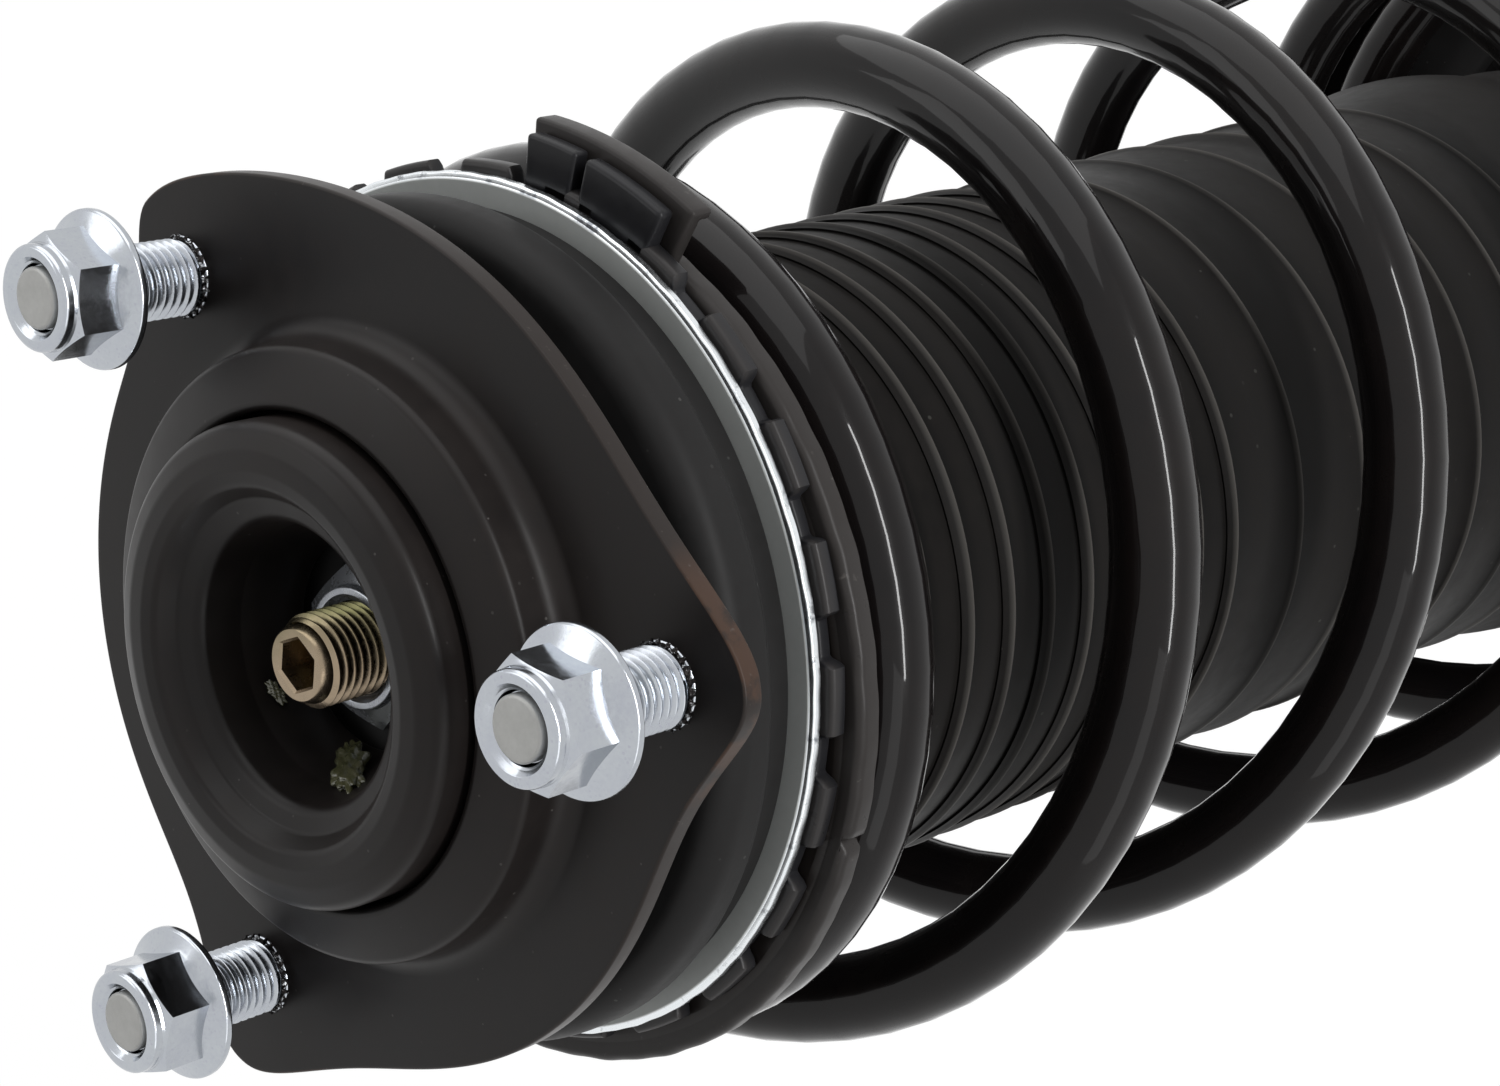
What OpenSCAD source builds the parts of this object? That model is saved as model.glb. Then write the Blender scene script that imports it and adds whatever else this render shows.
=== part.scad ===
// Coil-over strut assembly with its top mount, spring, boot and damper.
// +Z points up along the rod. The top plate's outer face crosses the rod's axis at z = 0,
// and leans a little on its rubber.

/* [Top mount] */
// Lean of the top mount about X and Y, in degrees
mount_lean = [-1.1, -0.24];
// Pitch circle diameter of the three tower studs
stud_pcd = 106.6; // [104:0.1:108]
// Angle of the first stud from +X
stud_angle = 105.1; // [100:0.1:110]
// Radius of the stud thread's crests
stud_r = 5.0; // [5:0.1:5.2]
// Height of the stud end above the plate
stud_h = 22.5; // [21:0.1:24]
// Height of the nut's seating face above the plate
nut_seat_h = 12.7; // [11:0.1:14]
// Height of the flange nut
nut_h = 10; // [9:0.1:11]
// Width across the flats of the flange nut
nut_af = 14; // [13:0.5:15]
// Outer radius of the nut's flange
nut_flange_r = 10.1; // [9.8:0.1:10.6]
// How far each flange nut is turned from its stud's direction, in degrees
nut_turn = [24, 43, 9.5];
// Thickness of the top plate
plate_t = 2.8; // [2.4:0.1:3.2]
// Radius of the plate between its lobes
plate_r = 53.3; // [53:0.1:54]
// How far each lobe stands out past the plate's round edge
lobe_reach = [11.5, 12.8, 15];
// Half width of each lobe in degrees, before and after its stud
lobe_width = [[25.8, 6.1], [9.2, 12.8], [8.8, 13]];
// Radius where the raised boss starts
boss_foot_r = 44.5; // [44:0.1:45]
// Height of the raised boss
boss_h = 9.2; // [8.6:0.1:10]
// Radius of the hole in the boss
boss_hole_r = 31; // [30.6:0.1:31.4]
// Outer radius of the inner cup
cup_r = 30.3; // [30:0.1:30.4]
// Height of the inner cup above the plate
cup_h = 14.3; // [13:0.1:15]
// Radius of the hole in the bottom of the cup's funnel
cup_hole_r = 13.6; // [13.4:0.1:14]
// Radius of the rubber's upper bulge
rubber_r = 54.6; // [53.5:0.1:55.5]
// Radius of the plated lower plate
lower_plate_r = 56.5; // [56:0.1:57.5]
// Height of the plated lower plate's upper face
lower_plate_z = -21.3; // [-21.6:0.1:-21]

/* [Spring] */
// Diameter of the spring wire
wire_d = 12; // [11:0.1:12.4]
// Coil radius of the small end turn, to the wire's centre
coil_end_r = 52.3; // [52:0.1:53]
// Coil radius where the first full turn crosses +X
coil_r0 = 64.1; // [63:0.1:65]
// Growth of the coil radius for each turn
coil_growth = 2.45; // [2:0.05:2.6]
// Height of the wire's centre at the upper tip
coil_top_z = -36.2; // [-36.4:0.1:-36.2]
// Pitch of the first full turn
coil_pitch_top = 54; // [52:0.5:56]
// Pitch of the lower turns
coil_pitch_low = 73; // [70:0.5:74]

/* [Seats and boot] */
// Sideways offset of the upper spring seat from the rod
seat_offset_y = -3.5; // [-3.6:0.1:-3]
// Radius of the upper seat's flange
seat_r = 58.4; // [58:0.1:58.6]
// Number of teeth on the bearing's dust seal
seal_teeth = 24; // [20:1:28]
// Outer radius of the boot at its top
boot_r = 43.5; // [43:0.1:44]
// Growth of the boot's radius over each 100 mm
boot_growth = 2; // [1.5:0.1:2.2]
// Height of the boot's lower end
boot_end_z = -298.4; // [-302.4:1:-294.4]
// Radius of the lower seat's rim
low_seat_r = 88; // [86:0.5:90]

/* [Damper] */
// Radius of the chromed rod
rod_r = 11; // [10.8:0.1:11]
// Radius of the threaded rod end
rod_thread_r = 5.95; // [5.9:0.05:5.95]
// Height of the rod's tip
rod_tip_z = 9.6; // [8.6:0.1:10.6]
// Outer radius of the strut tube
tube_r = 25.5; // [25:0.1:26]
// Height of the tube's upper edge
tube_top_z = -264.4; // [-266.4:1:-262.4]
// Height of the tube's lower end
tube_end_z = -542.4; // [-547.4:1:-540.4]
// Bore radius of the inner cylinder
bore_r = 15; // [15:0.1:15.2]

/* [Brackets] */
// Distance between the two knuckle bolts
knuckle_pitch = 60; // [55:1:65]
// Radius of the knuckle bolt holes
knuckle_hole_r = 7.15; // [7:0.05:7.5]
// Width of the slot for the knuckle
knuckle_gap = 31; // [28:0.5:33]
// Distance of the knuckle bolts from the rod's axis
knuckle_reach = 52; // [50:1:54]
// Radius of the stabilizer link's hole
link_hole_r = 6.1; // [6:0.1:6.3]
// Radius of the hose bracket's hole
hose_hole_r = 5.25; // [5:0.05:5.5]

/* [Hidden] */
$fn = 96;

// Small gap between parts that slide or lie on each other
gap = 0.3;
// Running clearance of a shaft in its bore
running = 0.05;
wire_r = wire_d / 2;

// ---- top mount
stud_ring_r = stud_pcd / 2;
stud_press_r = 5.3;
stud_head_r = 7.2;
stud_head_h = 3.3;
stud_core_r = 4.75;
plate_points = 160;
lobe_power = 1.2;
lobe_tip = 4;
boss_fillet = 5.5;
lower_plate_t = 1.5;
lower_plate_bottom = lower_plate_z - lower_plate_t;
cup_t = 2.2;
rubber_neck_r = 45.6;
sleeve_bore_r = 6.2;
sleeve_r = 12.4;
sleeve_top_z = -9.4;
sleeve_flange_r = 22;
shoulder_z = -20.6;
rod_nut_top_z = 0.6;
rod_nut_af = 19;
rod_nut_flange_r = 12.2;

// ---- steering bearing
race_in_r = 25.6;
race_out_r = 35;
race_t = 2.2;
ball_r = 2.4;
ball_ring_r = 30.3;
ball_count = 26;
ball_z = lower_plate_bottom - race_t - ball_r + 0.2;
lower_race_z = ball_z - ball_r + 0.2;

// ---- upper spring seat
seal_top_z = lower_plate_bottom - 0.5;
seal_r = 57.8;
seal_tab_r = 62.6;
seal_tabs = [[38.5, 51.2], [52.6, 60.5]];
seat_lug_r = 64;
seat_lug_from = 36.5;
seat_lug_to = 62;
seal_gap_w = 5.7;
seal_gap_depth = 2.2;
seat_top_z = -26;
seat_t = 2.2;
seat_rim_h = 3.7;
seat_neck_r = 40.5;
seat_neck_t = 2.2;
seat_neck_end_z = -48.4;
seat_floor_z = lower_race_z - race_t;
seat_hole_r = 24.5;
bearing_bore_r = 35.3;
insulator_in_r = 44.6;
insulator_out_r = 57;
insulator_end_z = coil_top_z + wire_r + gap;

// ---- spring, counted in turns from where the first full turn crosses +X
coil_from = -1.6;
coil_to = 4.6;
rings_per_turn = 24;
wire_sides = 10;
coil_flat_pitch = 4;
coil_lean = 1.2;
coil_lean_from = -1.6;
coil_last_full = 3.2;
coil_rings = round((coil_to - coil_from) * rings_per_turn);

// ---- boot
boot_t = 2;
boot_top_z = -36.9;
boot_bell_z = -252.4;
boot_bell_h = 2.6;
boot_mouth_r = 41;
rib_h = 0.7;
rib_w = 1.6;
rib_close_pitch = 8.4;
rib_wide_pitch = 16.4;
rib_close_count = 8;
rib_first_z = -56.4;
rib_wide_count = 7;

// ---- damper inside
cap_t = 4;
seal_t = 6;
guide_t = 20;
tube_t = 2.5;
cylinder_t = 1.5;
guide_end_z = tube_top_z - seal_t - guide_t;
piston_stud_r = 8;
rebound_top_z = guide_end_z - 1;
rebound_t = 7;
piston_top_z = -302.4;
piston_h = 18;
band_h = 6;
band_t = 0.8;
cylinder_end_z = -507.4;
base_h = 18;
bottom_t = 6;
bump_top_z = -31.8;
bump_end_z = -97.4;

// ---- lower seat and brackets
pad_t = 4;
low_seat_t = 3;
bracket_t = 4;
bracket_top_z = -430.4;
bracket_end_z = -538.4;
knuckle_top_z = -458.4;
ear_end_x = knuckle_reach + 16;

// ---- shared functions
function smooth(x) = let (t = min(1, max(0, x))) t * t * (3 - 2 * t);
function arc(cx, cy, r, from, to, steps = 6) =
    [for (i = [0:steps]) let (a = from + (to - from) * i / steps)
        [cx + r * cos(a), cy + r * sin(a)]];
function angle_between(a, b) = let (d = (a - b + 540) % 360 - 180) d;
function sum(v, i = 0) = i < len(v) ? v[i] + sum(v, i + 1) : 0;

// ---- plate outline: a round plate with one lobe for each stud
function lobe(a, i) =
    let (d = angle_between(a, stud_angle - 120 * i),
         w = lobe_width[i][d < 0 ? 0 : 1],
         away = sqrt(d * d + lobe_tip * lobe_tip) - lobe_tip)
    lobe_reach[i] * exp(-pow(away / w, lobe_power));
function plate_edge(a) = plate_r + sum([for (i = [0:2]) lobe(a, i)]);

// ---- inner cup: rounded annular dome, lip and funnel, from the skirt to the hole
cup_face = concat(
    [[cup_r, -plate_t]],
    arc(cup_r - 2, cup_h - 2.7, 2, 0, 60, 4),
    [[27, cup_h - 0.2], [24.6, cup_h], [22.8, cup_h - 0.5], [21.6, cup_h - 1.7]],
    [[20.9, 11.5], [19.4, 10.9], [18.1, 9.8], [17.4, 8.2]],
    [for (t = [0:0.2:1]) [cup_hole_r + 3.4 * pow(1 - t, 2), 6.2 - 9.4 * t]]);
cup_back = concat(
    [[cup_r - cup_t, -plate_t]],
    arc(cup_r - cup_t - 1.2, cup_h - 3.6, 1.2, 0, 80, 4),
    [[24.6, cup_h - cup_t], [23.4, 11.6], [22.7, 10.4], [21.6, 9.2], [20, 8.4], [19.4, 6.6]],
    [for (t = [0:0.2:1]) [cup_hole_r + cup_t + 3.2 * pow(1 - t, 2), 4.6 - 7.8 * t]]);

// ---- spring centre line
function coil_pitch(u) =
    let (full = coil_pitch_top + (coil_pitch_low - coil_pitch_top) * smooth(u / 1.8))
    coil_flat_pitch + (full - coil_flat_pitch)
        * smooth((u + 1.15) / 0.75) * smooth((4.2 - u) / 0.85);
function coil_radius(u) =
    coil_end_r + (coil_r0 - coil_end_r) * smooth((u + 0.95) / 0.6)
    + coil_growth * max(0, min(u, coil_last_full));
function coil_centre_y(u) =
    seat_offset_y + coil_lean * max(0, min(u, coil_last_full) - coil_lean_from);
coil_heights = [for (i = 0, z = coil_top_z; i <= coil_rings; i = i + 1,
    z = z - coil_pitch(coil_from + (i - 0.5) / rings_per_turn) / rings_per_turn) z];
coil_line = [for (i = [0:coil_rings]) let (u = coil_from + i / rings_per_turn)
    [coil_radius(u) * cos(360 * u),
     coil_centre_y(u) + coil_radius(u) * sin(360 * u),
     coil_heights[i]]];
coil_end_z = coil_heights[coil_rings];
low_seat_y = coil_centre_y(coil_to);
pad_top_z = coil_end_z - wire_r - gap;
low_seat_top_z = pad_top_z - pad_t;

// Least distance between the wire's surfaces on two different turns
function line_gap(i) = min([for (j = [i + 15:coil_rings]) norm(coil_line[i] - coil_line[j])]);
coil_gap = min([for (i = [0:coil_rings - 16]) line_gap(i)]) - wire_d;
echo(coil_gap_mm = coil_gap, coil_end_z = coil_end_z, low_seat_top_z = low_seat_top_z);

// ---- boot outline, from the top down
function boot_outer(z) =
    boot_r + boot_growth * (boot_top_z - z) / 100
    + boot_bell_h * exp(-pow((z - boot_bell_z) / 14, 2));
rib_heights = concat(
    [for (i = [0:rib_close_count - 1]) rib_first_z - i * rib_close_pitch],
    [for (i = [0:rib_wide_count - 1])
        rib_first_z - rib_close_count * rib_close_pitch - i * rib_wide_pitch]);
function rib_points(z) =
    [[boot_outer(z), z + rib_w], [boot_outer(z) + rib_h, z + 0.3],
     [boot_outer(z) + rib_h, z - 0.3], [boot_outer(z) - 0.1, z - rib_w * 0.6]];
bell_points = [for (i = [0:8]) let (z = boot_bell_z + 16 - i * 4.6) [boot_outer(z), z]];
boot_outline = concat(
    [[boot_outer(boot_top_z), boot_top_z]],
    [for (z = rib_heights) each rib_points(z)],
    bell_points,
    [[boot_mouth_r + boot_t + 2.6, boot_end_z + 4], [boot_mouth_r + boot_t, boot_end_z],
     [boot_mouth_r, boot_end_z], [boot_mouth_r + 1.6, boot_end_z + 5]],
    [for (i = [8:-1:0]) [bell_points[i][0] - boot_t, bell_points[i][1]]],
    [[boot_outer(-202.4) - boot_t, -202.4], [boot_outer(boot_top_z) - boot_t, boot_top_z]]);

// ---- small shared solids
module ring(inner, outer, bottom, top) {
    translate([0, 0, bottom]) difference() {
        cylinder(r = outer, h = top - bottom);
        translate([0, 0, -1]) cylinder(r = inner, h = top - bottom + 2);
    }
}

module hex_prism(af, h) {
    cylinder(r = af / 2 / cos(30), h = h, $fn = 6);
}

// The top plate's lean
module on_mount() {
    rotate([mount_lean.x, mount_lean.y, 0]) children();
}

module at_stud(i) {
    rotate([0, 0, stud_angle - 120 * i]) translate([stud_ring_r, 0, 0]) children();
}

module at_studs() {
    for (i = [0:2]) at_stud(i) children();
}

// Hexagon nut with a washer flange and a chamfered crown, seated at z = 0
module flange_nut(af, flange_r, h, bore_r, crown_r, crown_h) {
    flange_t = 1.1;
    cone_h = 1.3;
    hex_top = h - crown_h;
    difference() {
        union() {
            cylinder(r = flange_r, h = flange_t);
            translate([0, 0, flange_t])
                cylinder(r1 = flange_r, r2 = af / 2 + 0.6, h = cone_h);
            intersection() {
                hex_prism(af, hex_top);
                cylinder(r1 = af / 2 + 0.4 + hex_top, r2 = af / 2 + 0.4, h = hex_top);
            }
            cylinder(r = crown_r, h = h - 0.8);
            translate([0, 0, h - 0.8]) cylinder(r1 = crown_r, r2 = crown_r - 0.8, h = 0.8);
        }
        translate([0, 0, -1]) cylinder(r = bore_r, h = h + 2);
    }
}

// ---- top mount

module mount_top_plate() {
    color([0.05, 0.045, 0.045]) on_mount() difference() {
        union() {
            difference() {
                translate([0, 0, -plate_t]) linear_extrude(height = plate_t)
                    polygon([for (i = [0:plate_points - 1]) let (a = 360 * i / plate_points)
                        plate_edge(a) * [cos(a), sin(a)]]);
                translate([0, 0, -plate_t - 1]) cylinder(r = boss_foot_r, h = plate_t + 2);
            }
            boss();
        }
        translate([0, 0, -plate_t - 1]) at_studs() cylinder(r = stud_press_r, h = plate_t + 2);
    }
}

// Raised boss: concave foot, rounded shoulder, sloping collar and hole
module boss() {
    wall_r = boss_foot_r - boss_fillet;
    rotate_extrude() polygon(concat(
        [[boss_foot_r, -plate_t]],
        arc(boss_foot_r, boss_fillet, boss_fillet, 270, 180),
        arc(wall_r - 1.2, boss_fillet, 1.2, 0, 80, 4),
        [[boss_hole_r + 1.2, boss_h]],
        arc(boss_hole_r + 0.9, boss_h - 0.9, 0.9, 90, 180, 4),
        [[boss_hole_r, boss_h - plate_t], [wall_r - plate_t, boss_fillet - plate_t + 0.8]],
        arc(boss_foot_r, boss_fillet, boss_fillet + plate_t, 195, 270)));
}

module mount_studs() {
    color([0.72, 0.74, 0.76]) on_mount() at_studs() union() {
        translate([0, 0, -plate_t - stud_head_h]) cylinder(r = stud_head_r, h = stud_head_h);
        translate([0, 0, -plate_t]) cylinder(r = stud_press_r, h = plate_t);
        cylinder(r = stud_r, h = nut_seat_h);
        translate([0, 0, nut_seat_h]) cylinder(r = stud_core_r, h = stud_h - nut_seat_h);
    }
}

module stud_flange_nuts() {
    color([0.8, 0.83, 0.86]) on_mount() for (i = [0:2]) at_stud(i)
        translate([0, 0, nut_seat_h]) rotate([0, 0, nut_turn[i]])
            flange_nut(nut_af, nut_flange_r, nut_h, stud_core_r + running, 6.7, 1.9);
}

module mount_inner_cup() {
    color([0.08, 0.075, 0.075]) on_mount() rotate_extrude() polygon(concat(
        cup_face,
        [for (i = [len(cup_back) - 1:-1:0]) cup_back[i]]));
}

// Rubber block: fills the cup and follows its lean, then bulges out below in two steps
module mount_rubber() {
    bulge_z = -13.2;
    neck_end_z = -9;
    color([0.03, 0.03, 0.03]) union() {
        on_mount() rotate_extrude() polygon(concat(
            cup_back,
            [[cup_hole_r + cup_t, neck_end_z], [rubber_neck_r, neck_end_z],
             [rubber_neck_r, -plate_t]]));
        difference() {
            rotate_extrude() polygon(concat(
                [[rubber_neck_r + 1, -7.8], [sleeve_r, -7.8], [sleeve_r, lower_plate_z],
                 [52.6, lower_plate_z], [52.6, -17.8], [51.4, -17.1]],
                arc(rubber_r - 4.2, bulge_z, 4.2, -62, 84, 10),
                [[rubber_neck_r + 1, -8.9]]));
            translate([0, 0, shoulder_z]) cylinder(r = sleeve_flange_r, h = 2.4);
            translate([0, 0, lower_plate_z - 1]) cylinder(r = sleeve_flange_r, h = 2);
        }
    }
}

module mount_inner_sleeve() {
    color([0.35, 0.33, 0.3]) union() {
        ring(sleeve_bore_r, sleeve_r, shoulder_z, sleeve_top_z);
        ring(sleeve_bore_r, sleeve_flange_r, shoulder_z, shoulder_z + 2.4);
    }
}

module mount_lower_plate() {
    color([0.66, 0.7, 0.7]) ring(23.5, lower_plate_r, lower_plate_bottom, lower_plate_z);
}

module rod_lock_nut() {
    color([0.8, 0.83, 0.86]) translate([0, 0, sleeve_top_z])
        flange_nut(rod_nut_af, rod_nut_flange_r, rod_nut_top_z - sleeve_top_z, 6, 7.6, 1.8);
}

// ---- steering bearing

module race_groove() {
    rotate_extrude() translate([ball_ring_r, ball_z]) circle(r = ball_r + running, $fn = 48);
}

module bearing_upper_race() {
    color([0.6, 0.6, 0.62]) difference() {
        ring(race_in_r, race_out_r, lower_plate_bottom - race_t, lower_plate_bottom);
        race_groove();
    }
}

module bearing_lower_race() {
    color([0.6, 0.6, 0.62]) difference() {
        ring(race_in_r, race_out_r, lower_race_z - race_t, lower_race_z);
        race_groove();
    }
}

module bearing_balls() {
    color([0.85, 0.85, 0.87]) for (i = [0:ball_count - 1]) rotate([0, 0, 360 * i / ball_count])
        translate([ball_ring_r, 0, ball_z]) sphere(r = ball_r, $fn = 32);
}

module bearing_cage() {
    color([0.85, 0.82, 0.7]) difference() {
        ring(ball_ring_r - 3.6, ball_ring_r + 3.6, ball_z - 0.8, ball_z + 0.8);
        for (i = [0:ball_count - 1]) rotate([0, 0, 360 * i / ball_count])
            translate([ball_ring_r, 0, ball_z - 2]) cylinder(r = ball_r + 0.15, h = 4, $fn = 32);
    }
}

// ---- upper seat, seal and insulator

// Castellated seal between the plated plate and the seat, with two raised stop teeth
module bearing_dust_seal() {
    bottom = seat_top_z + 0.2;
    color([0.04, 0.04, 0.045]) union() {
        difference() {
            ring(50, seal_r, bottom, seal_top_z);
            for (i = [0:seal_teeth - 1]) rotate([0, 0, 360 * i / seal_teeth])
                translate([seal_r - seal_gap_depth, -seal_gap_w / 2, seat_top_z - 1])
                    cube([4, seal_gap_w, 4]);
        }
        for (tab = seal_tabs) intersection() {
            ring(54, seal_tab_r, bottom, seal_top_z);
            sector(tab[0], tab[1], seal_tab_r + 2);
        }
    }
}

// Wedge from one angle to another, tall enough for any ring near z = 0
module sector(from, to, r) {
    translate([0, 0, -100]) linear_extrude(height = 200)
        polygon(concat([[0, 0]], arc(0, 0, r * 1.2, from, to, 8)));
}

module upper_spring_seat() {
    notch_angle = -38;
    color([0.07, 0.06, 0.055]) difference() {
        translate([0, seat_offset_y, 0]) difference() {
            union() {
                ring(seat_neck_r - 1, seat_r, seat_top_z - seat_t, seat_top_z);
                ring(seat_r - 1.6, seat_r, seat_top_z - seat_rim_h, seat_top_z);
                ring(seat_neck_r - seat_neck_t, seat_neck_r, seat_neck_end_z, seat_top_z);
                ring(0.1, seat_neck_r, seat_floor_z - seat_t, seat_top_z);
                translate([0, -seat_offset_y, 0]) seat_lug();
            }
            rotate([0, 0, notch_angle]) translate([seat_r - 2.4, -0.8, seat_top_z - 10])
                cube([5, 1.6, 20]);
        }
        translate([0, 0, seat_floor_z]) cylinder(r = bearing_bore_r, h = 40);
        translate([0, 0, seat_floor_z - 20]) cylinder(r = seat_hole_r, h = 40);
    }
}

// Lug on the seat's rim that backs the seal's stop teeth
module seat_lug() {
    intersection() {
        ring(55, seat_lug_r, seat_top_z - seat_t, seat_top_z);
        sector(seat_lug_from, seat_lug_to, seat_lug_r + 2);
    }
    intersection() {
        ring(seat_lug_r - 1.6, seat_lug_r, seat_top_z - seat_rim_h, seat_top_z);
        sector(seat_lug_from, seat_lug_to, seat_lug_r + 2);
    }
}

module upper_spring_insulator() {
    color([0.04, 0.04, 0.04]) translate([0, seat_offset_y, 0])
        ring(insulator_in_r, insulator_out_r - gap, insulator_end_z, seat_top_z - seat_t);
}

// ---- spring and boot

// Ring of points round the wire at one place on its centre line
function wire_ring(i) =
    let (before = coil_line[max(0, i - 1)],
         after = coil_line[min(coil_rings, i + 1)],
         along = (after - before) / norm(after - before),
         side = cross(along, [0, 0, 1]) / norm(cross(along, [0, 0, 1])),
         up = cross(side, along))
    [for (k = [0:wire_sides - 1]) let (a = 360 * (k + 0.5) / wire_sides)
        coil_line[i] + wire_r * (cos(a) * side + sin(a) * up)];

module coil_spring() {
    points = [for (i = [0:coil_rings]) each wire_ring(i)];
    last = coil_rings * wire_sides;
    color([0.03, 0.028, 0.03]) polyhedron(points, concat(
        [for (k = [1:wire_sides - 2]) [0, k, k + 1]],
        [for (i = [0:coil_rings - 1]) for (k = [0:wire_sides - 1])
            let (a = i * wire_sides + k,
                 b = i * wire_sides + (k + 1) % wire_sides)
            each [[a, a + wire_sides, b], [b, a + wire_sides, b + wire_sides]]],
        [for (k = [1:wire_sides - 2]) [last, last + k + 1, last + k]]));
}

module dust_boot() {
    color([0.05, 0.05, 0.05]) translate([0, seat_offset_y - 0.5, 0])
        rotate_extrude() polygon(boot_outline);
}

// ---- rod and what it carries

// Washer over the bump stop, with the collar that seats it under the mount's sleeve
module stop_washer() {
    color([0.5, 0.5, 0.5]) union() {
        ring(rod_r + running, 20, bump_top_z, bump_top_z + 2.5);
        ring(rod_r + running, 15, bump_top_z, shoulder_z);
    }
}

module bump_stop() {
    grooves = 3;
    span = (bump_top_z - bump_end_z) / grooves;
    color([0.75, 0.7, 0.5]) rotate_extrude() polygon(concat(
        [[rod_r + gap, bump_top_z], [21, bump_top_z]],
        [for (i = [0:grooves - 1]) let (z = bump_top_z - i * span, r = 22 - i * 1.6) each
            [[r, z - 4], [r, z - span + 8], [r - 4.4, z - span + 4]]],
        [[15, bump_end_z], [rod_r + gap, bump_end_z]]));
}

module piston_rod() {
    socket_af = 6;
    socket_depth = 7;
    chamfer = 1;
    color([0.55, 0.5, 0.42]) difference() {
        union() {
            translate([0, 0, piston_top_z]) cylinder(r = rod_r, h = shoulder_z - piston_top_z);
            translate([0, 0, shoulder_z - 1])
                cylinder(r = rod_thread_r, h = rod_tip_z - chamfer - shoulder_z + 1);
            translate([0, 0, rod_tip_z - chamfer])
                cylinder(r1 = rod_thread_r, r2 = rod_thread_r - chamfer, h = chamfer);
            translate([0, 0, piston_top_z - piston_h - 11])
                cylinder(r = piston_stud_r, h = piston_h + 12);
        }
        translate([0, 0, rod_tip_z - socket_depth]) hex_prism(socket_af, socket_depth + 1);
    }
}

module rebound_stop() {
    color([0.1, 0.1, 0.1])
        ring(rod_r + running, bore_r - 0.6, rebound_top_z - rebound_t, rebound_top_z);
}

module piston() {
    band_z = piston_top_z - (piston_h + band_h) / 2;
    color([0.45, 0.45, 0.45]) difference() {
        ring(piston_stud_r + running, bore_r - 0.2, piston_top_z - piston_h, piston_top_z);
        ring(bore_r - band_t - running, bore_r + 1, band_z, band_z + band_h);
    }
}

module piston_band() {
    band_z = piston_top_z - (piston_h + band_h) / 2;
    color([0.35, 0.25, 0.15])
        ring(bore_r - band_t, bore_r - running, band_z + running, band_z + band_h - running);
}

module piston_nut() {
    color([0.6, 0.6, 0.6]) translate([0, 0, piston_top_z - piston_h - 9]) difference() {
        hex_prism(22, 9);
        translate([0, 0, -1]) cylinder(r = piston_stud_r + running, h = 11);
    }
}

// ---- damper body

module tube_cap() {
    color([0.05, 0.05, 0.05]) ring(rod_r + 1.5, tube_r + 1, tube_top_z, tube_top_z + cap_t);
}

module rod_seal() {
    color([0.1, 0.08, 0.07])
        ring(rod_r + running, tube_r - tube_t, tube_top_z - seal_t, tube_top_z);
}

module rod_guide() {
    color([0.5, 0.48, 0.45])
        ring(rod_r + running, tube_r - tube_t, guide_end_z, tube_top_z - seal_t);
}

module strut_tube() {
    color([0.04, 0.04, 0.04]) ring(tube_r - tube_t, tube_r, tube_end_z, tube_top_z);
}

module inner_cylinder() {
    color([0.5, 0.5, 0.52]) ring(bore_r, bore_r + cylinder_t, cylinder_end_z, guide_end_z);
}

module base_valve() {
    color([0.55, 0.52, 0.45]) difference() {
        translate([0, 0, cylinder_end_z - base_h]) cylinder(r = tube_r - tube_t, h = base_h);
        for (i = [0:5]) rotate([0, 0, 60 * i]) translate([10, 0, cylinder_end_z - base_h - 1])
            cylinder(r = 1.5, h = base_h + 2);
    }
}

module bottom_cap() {
    color([0.04, 0.04, 0.04])
        translate([0, 0, tube_end_z]) cylinder(r = tube_r - tube_t, h = bottom_t);
}

// Pressed dish: collar on the tube, cone, flat track for the spring and turned-up rim
module lower_spring_seat() {
    track_in_r = 54;
    rim_h = 11;
    top = low_seat_top_z;
    color([0.05, 0.05, 0.05]) difference() {
        translate([0, low_seat_y, 0]) rotate_extrude() polygon([
            [20, top + 12], [34, top + 12], [track_in_r, top], [low_seat_r - 8, top],
            [low_seat_r - 4.6, top + 2.2], [low_seat_r - low_seat_t, top + 6],
            [low_seat_r - low_seat_t, top + rim_h], [low_seat_r, top + rim_h],
            [low_seat_r, top + 4.6], [low_seat_r - 3.2, top - 0.8],
            [low_seat_r - 7.4, top - low_seat_t], [track_in_r - 1, top - low_seat_t],
            [33, top + 12 - low_seat_t], [33, top - 14], [20, top - 14]]);
        translate([0, 0, top - 40]) cylinder(r = tube_r, h = 80);
    }
}

module lower_spring_pad() {
    color([0.06, 0.06, 0.06]) translate([0, low_seat_y, 0])
        ring(56, low_seat_r - 8.4, low_seat_top_z, pad_top_z);
}

// ---- brackets

// Side wall of the knuckle bracket from above, from the wrapping collar to the ear's end
module bracket_wall() {
    ear_y = knuckle_gap / 2;
    polygon([[13, 23.2], [13, 26.3], [25.2, ear_y + bracket_t], [ear_end_x, ear_y + bracket_t],
             [ear_end_x, ear_y], [24.1, ear_y]]);
}

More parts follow.
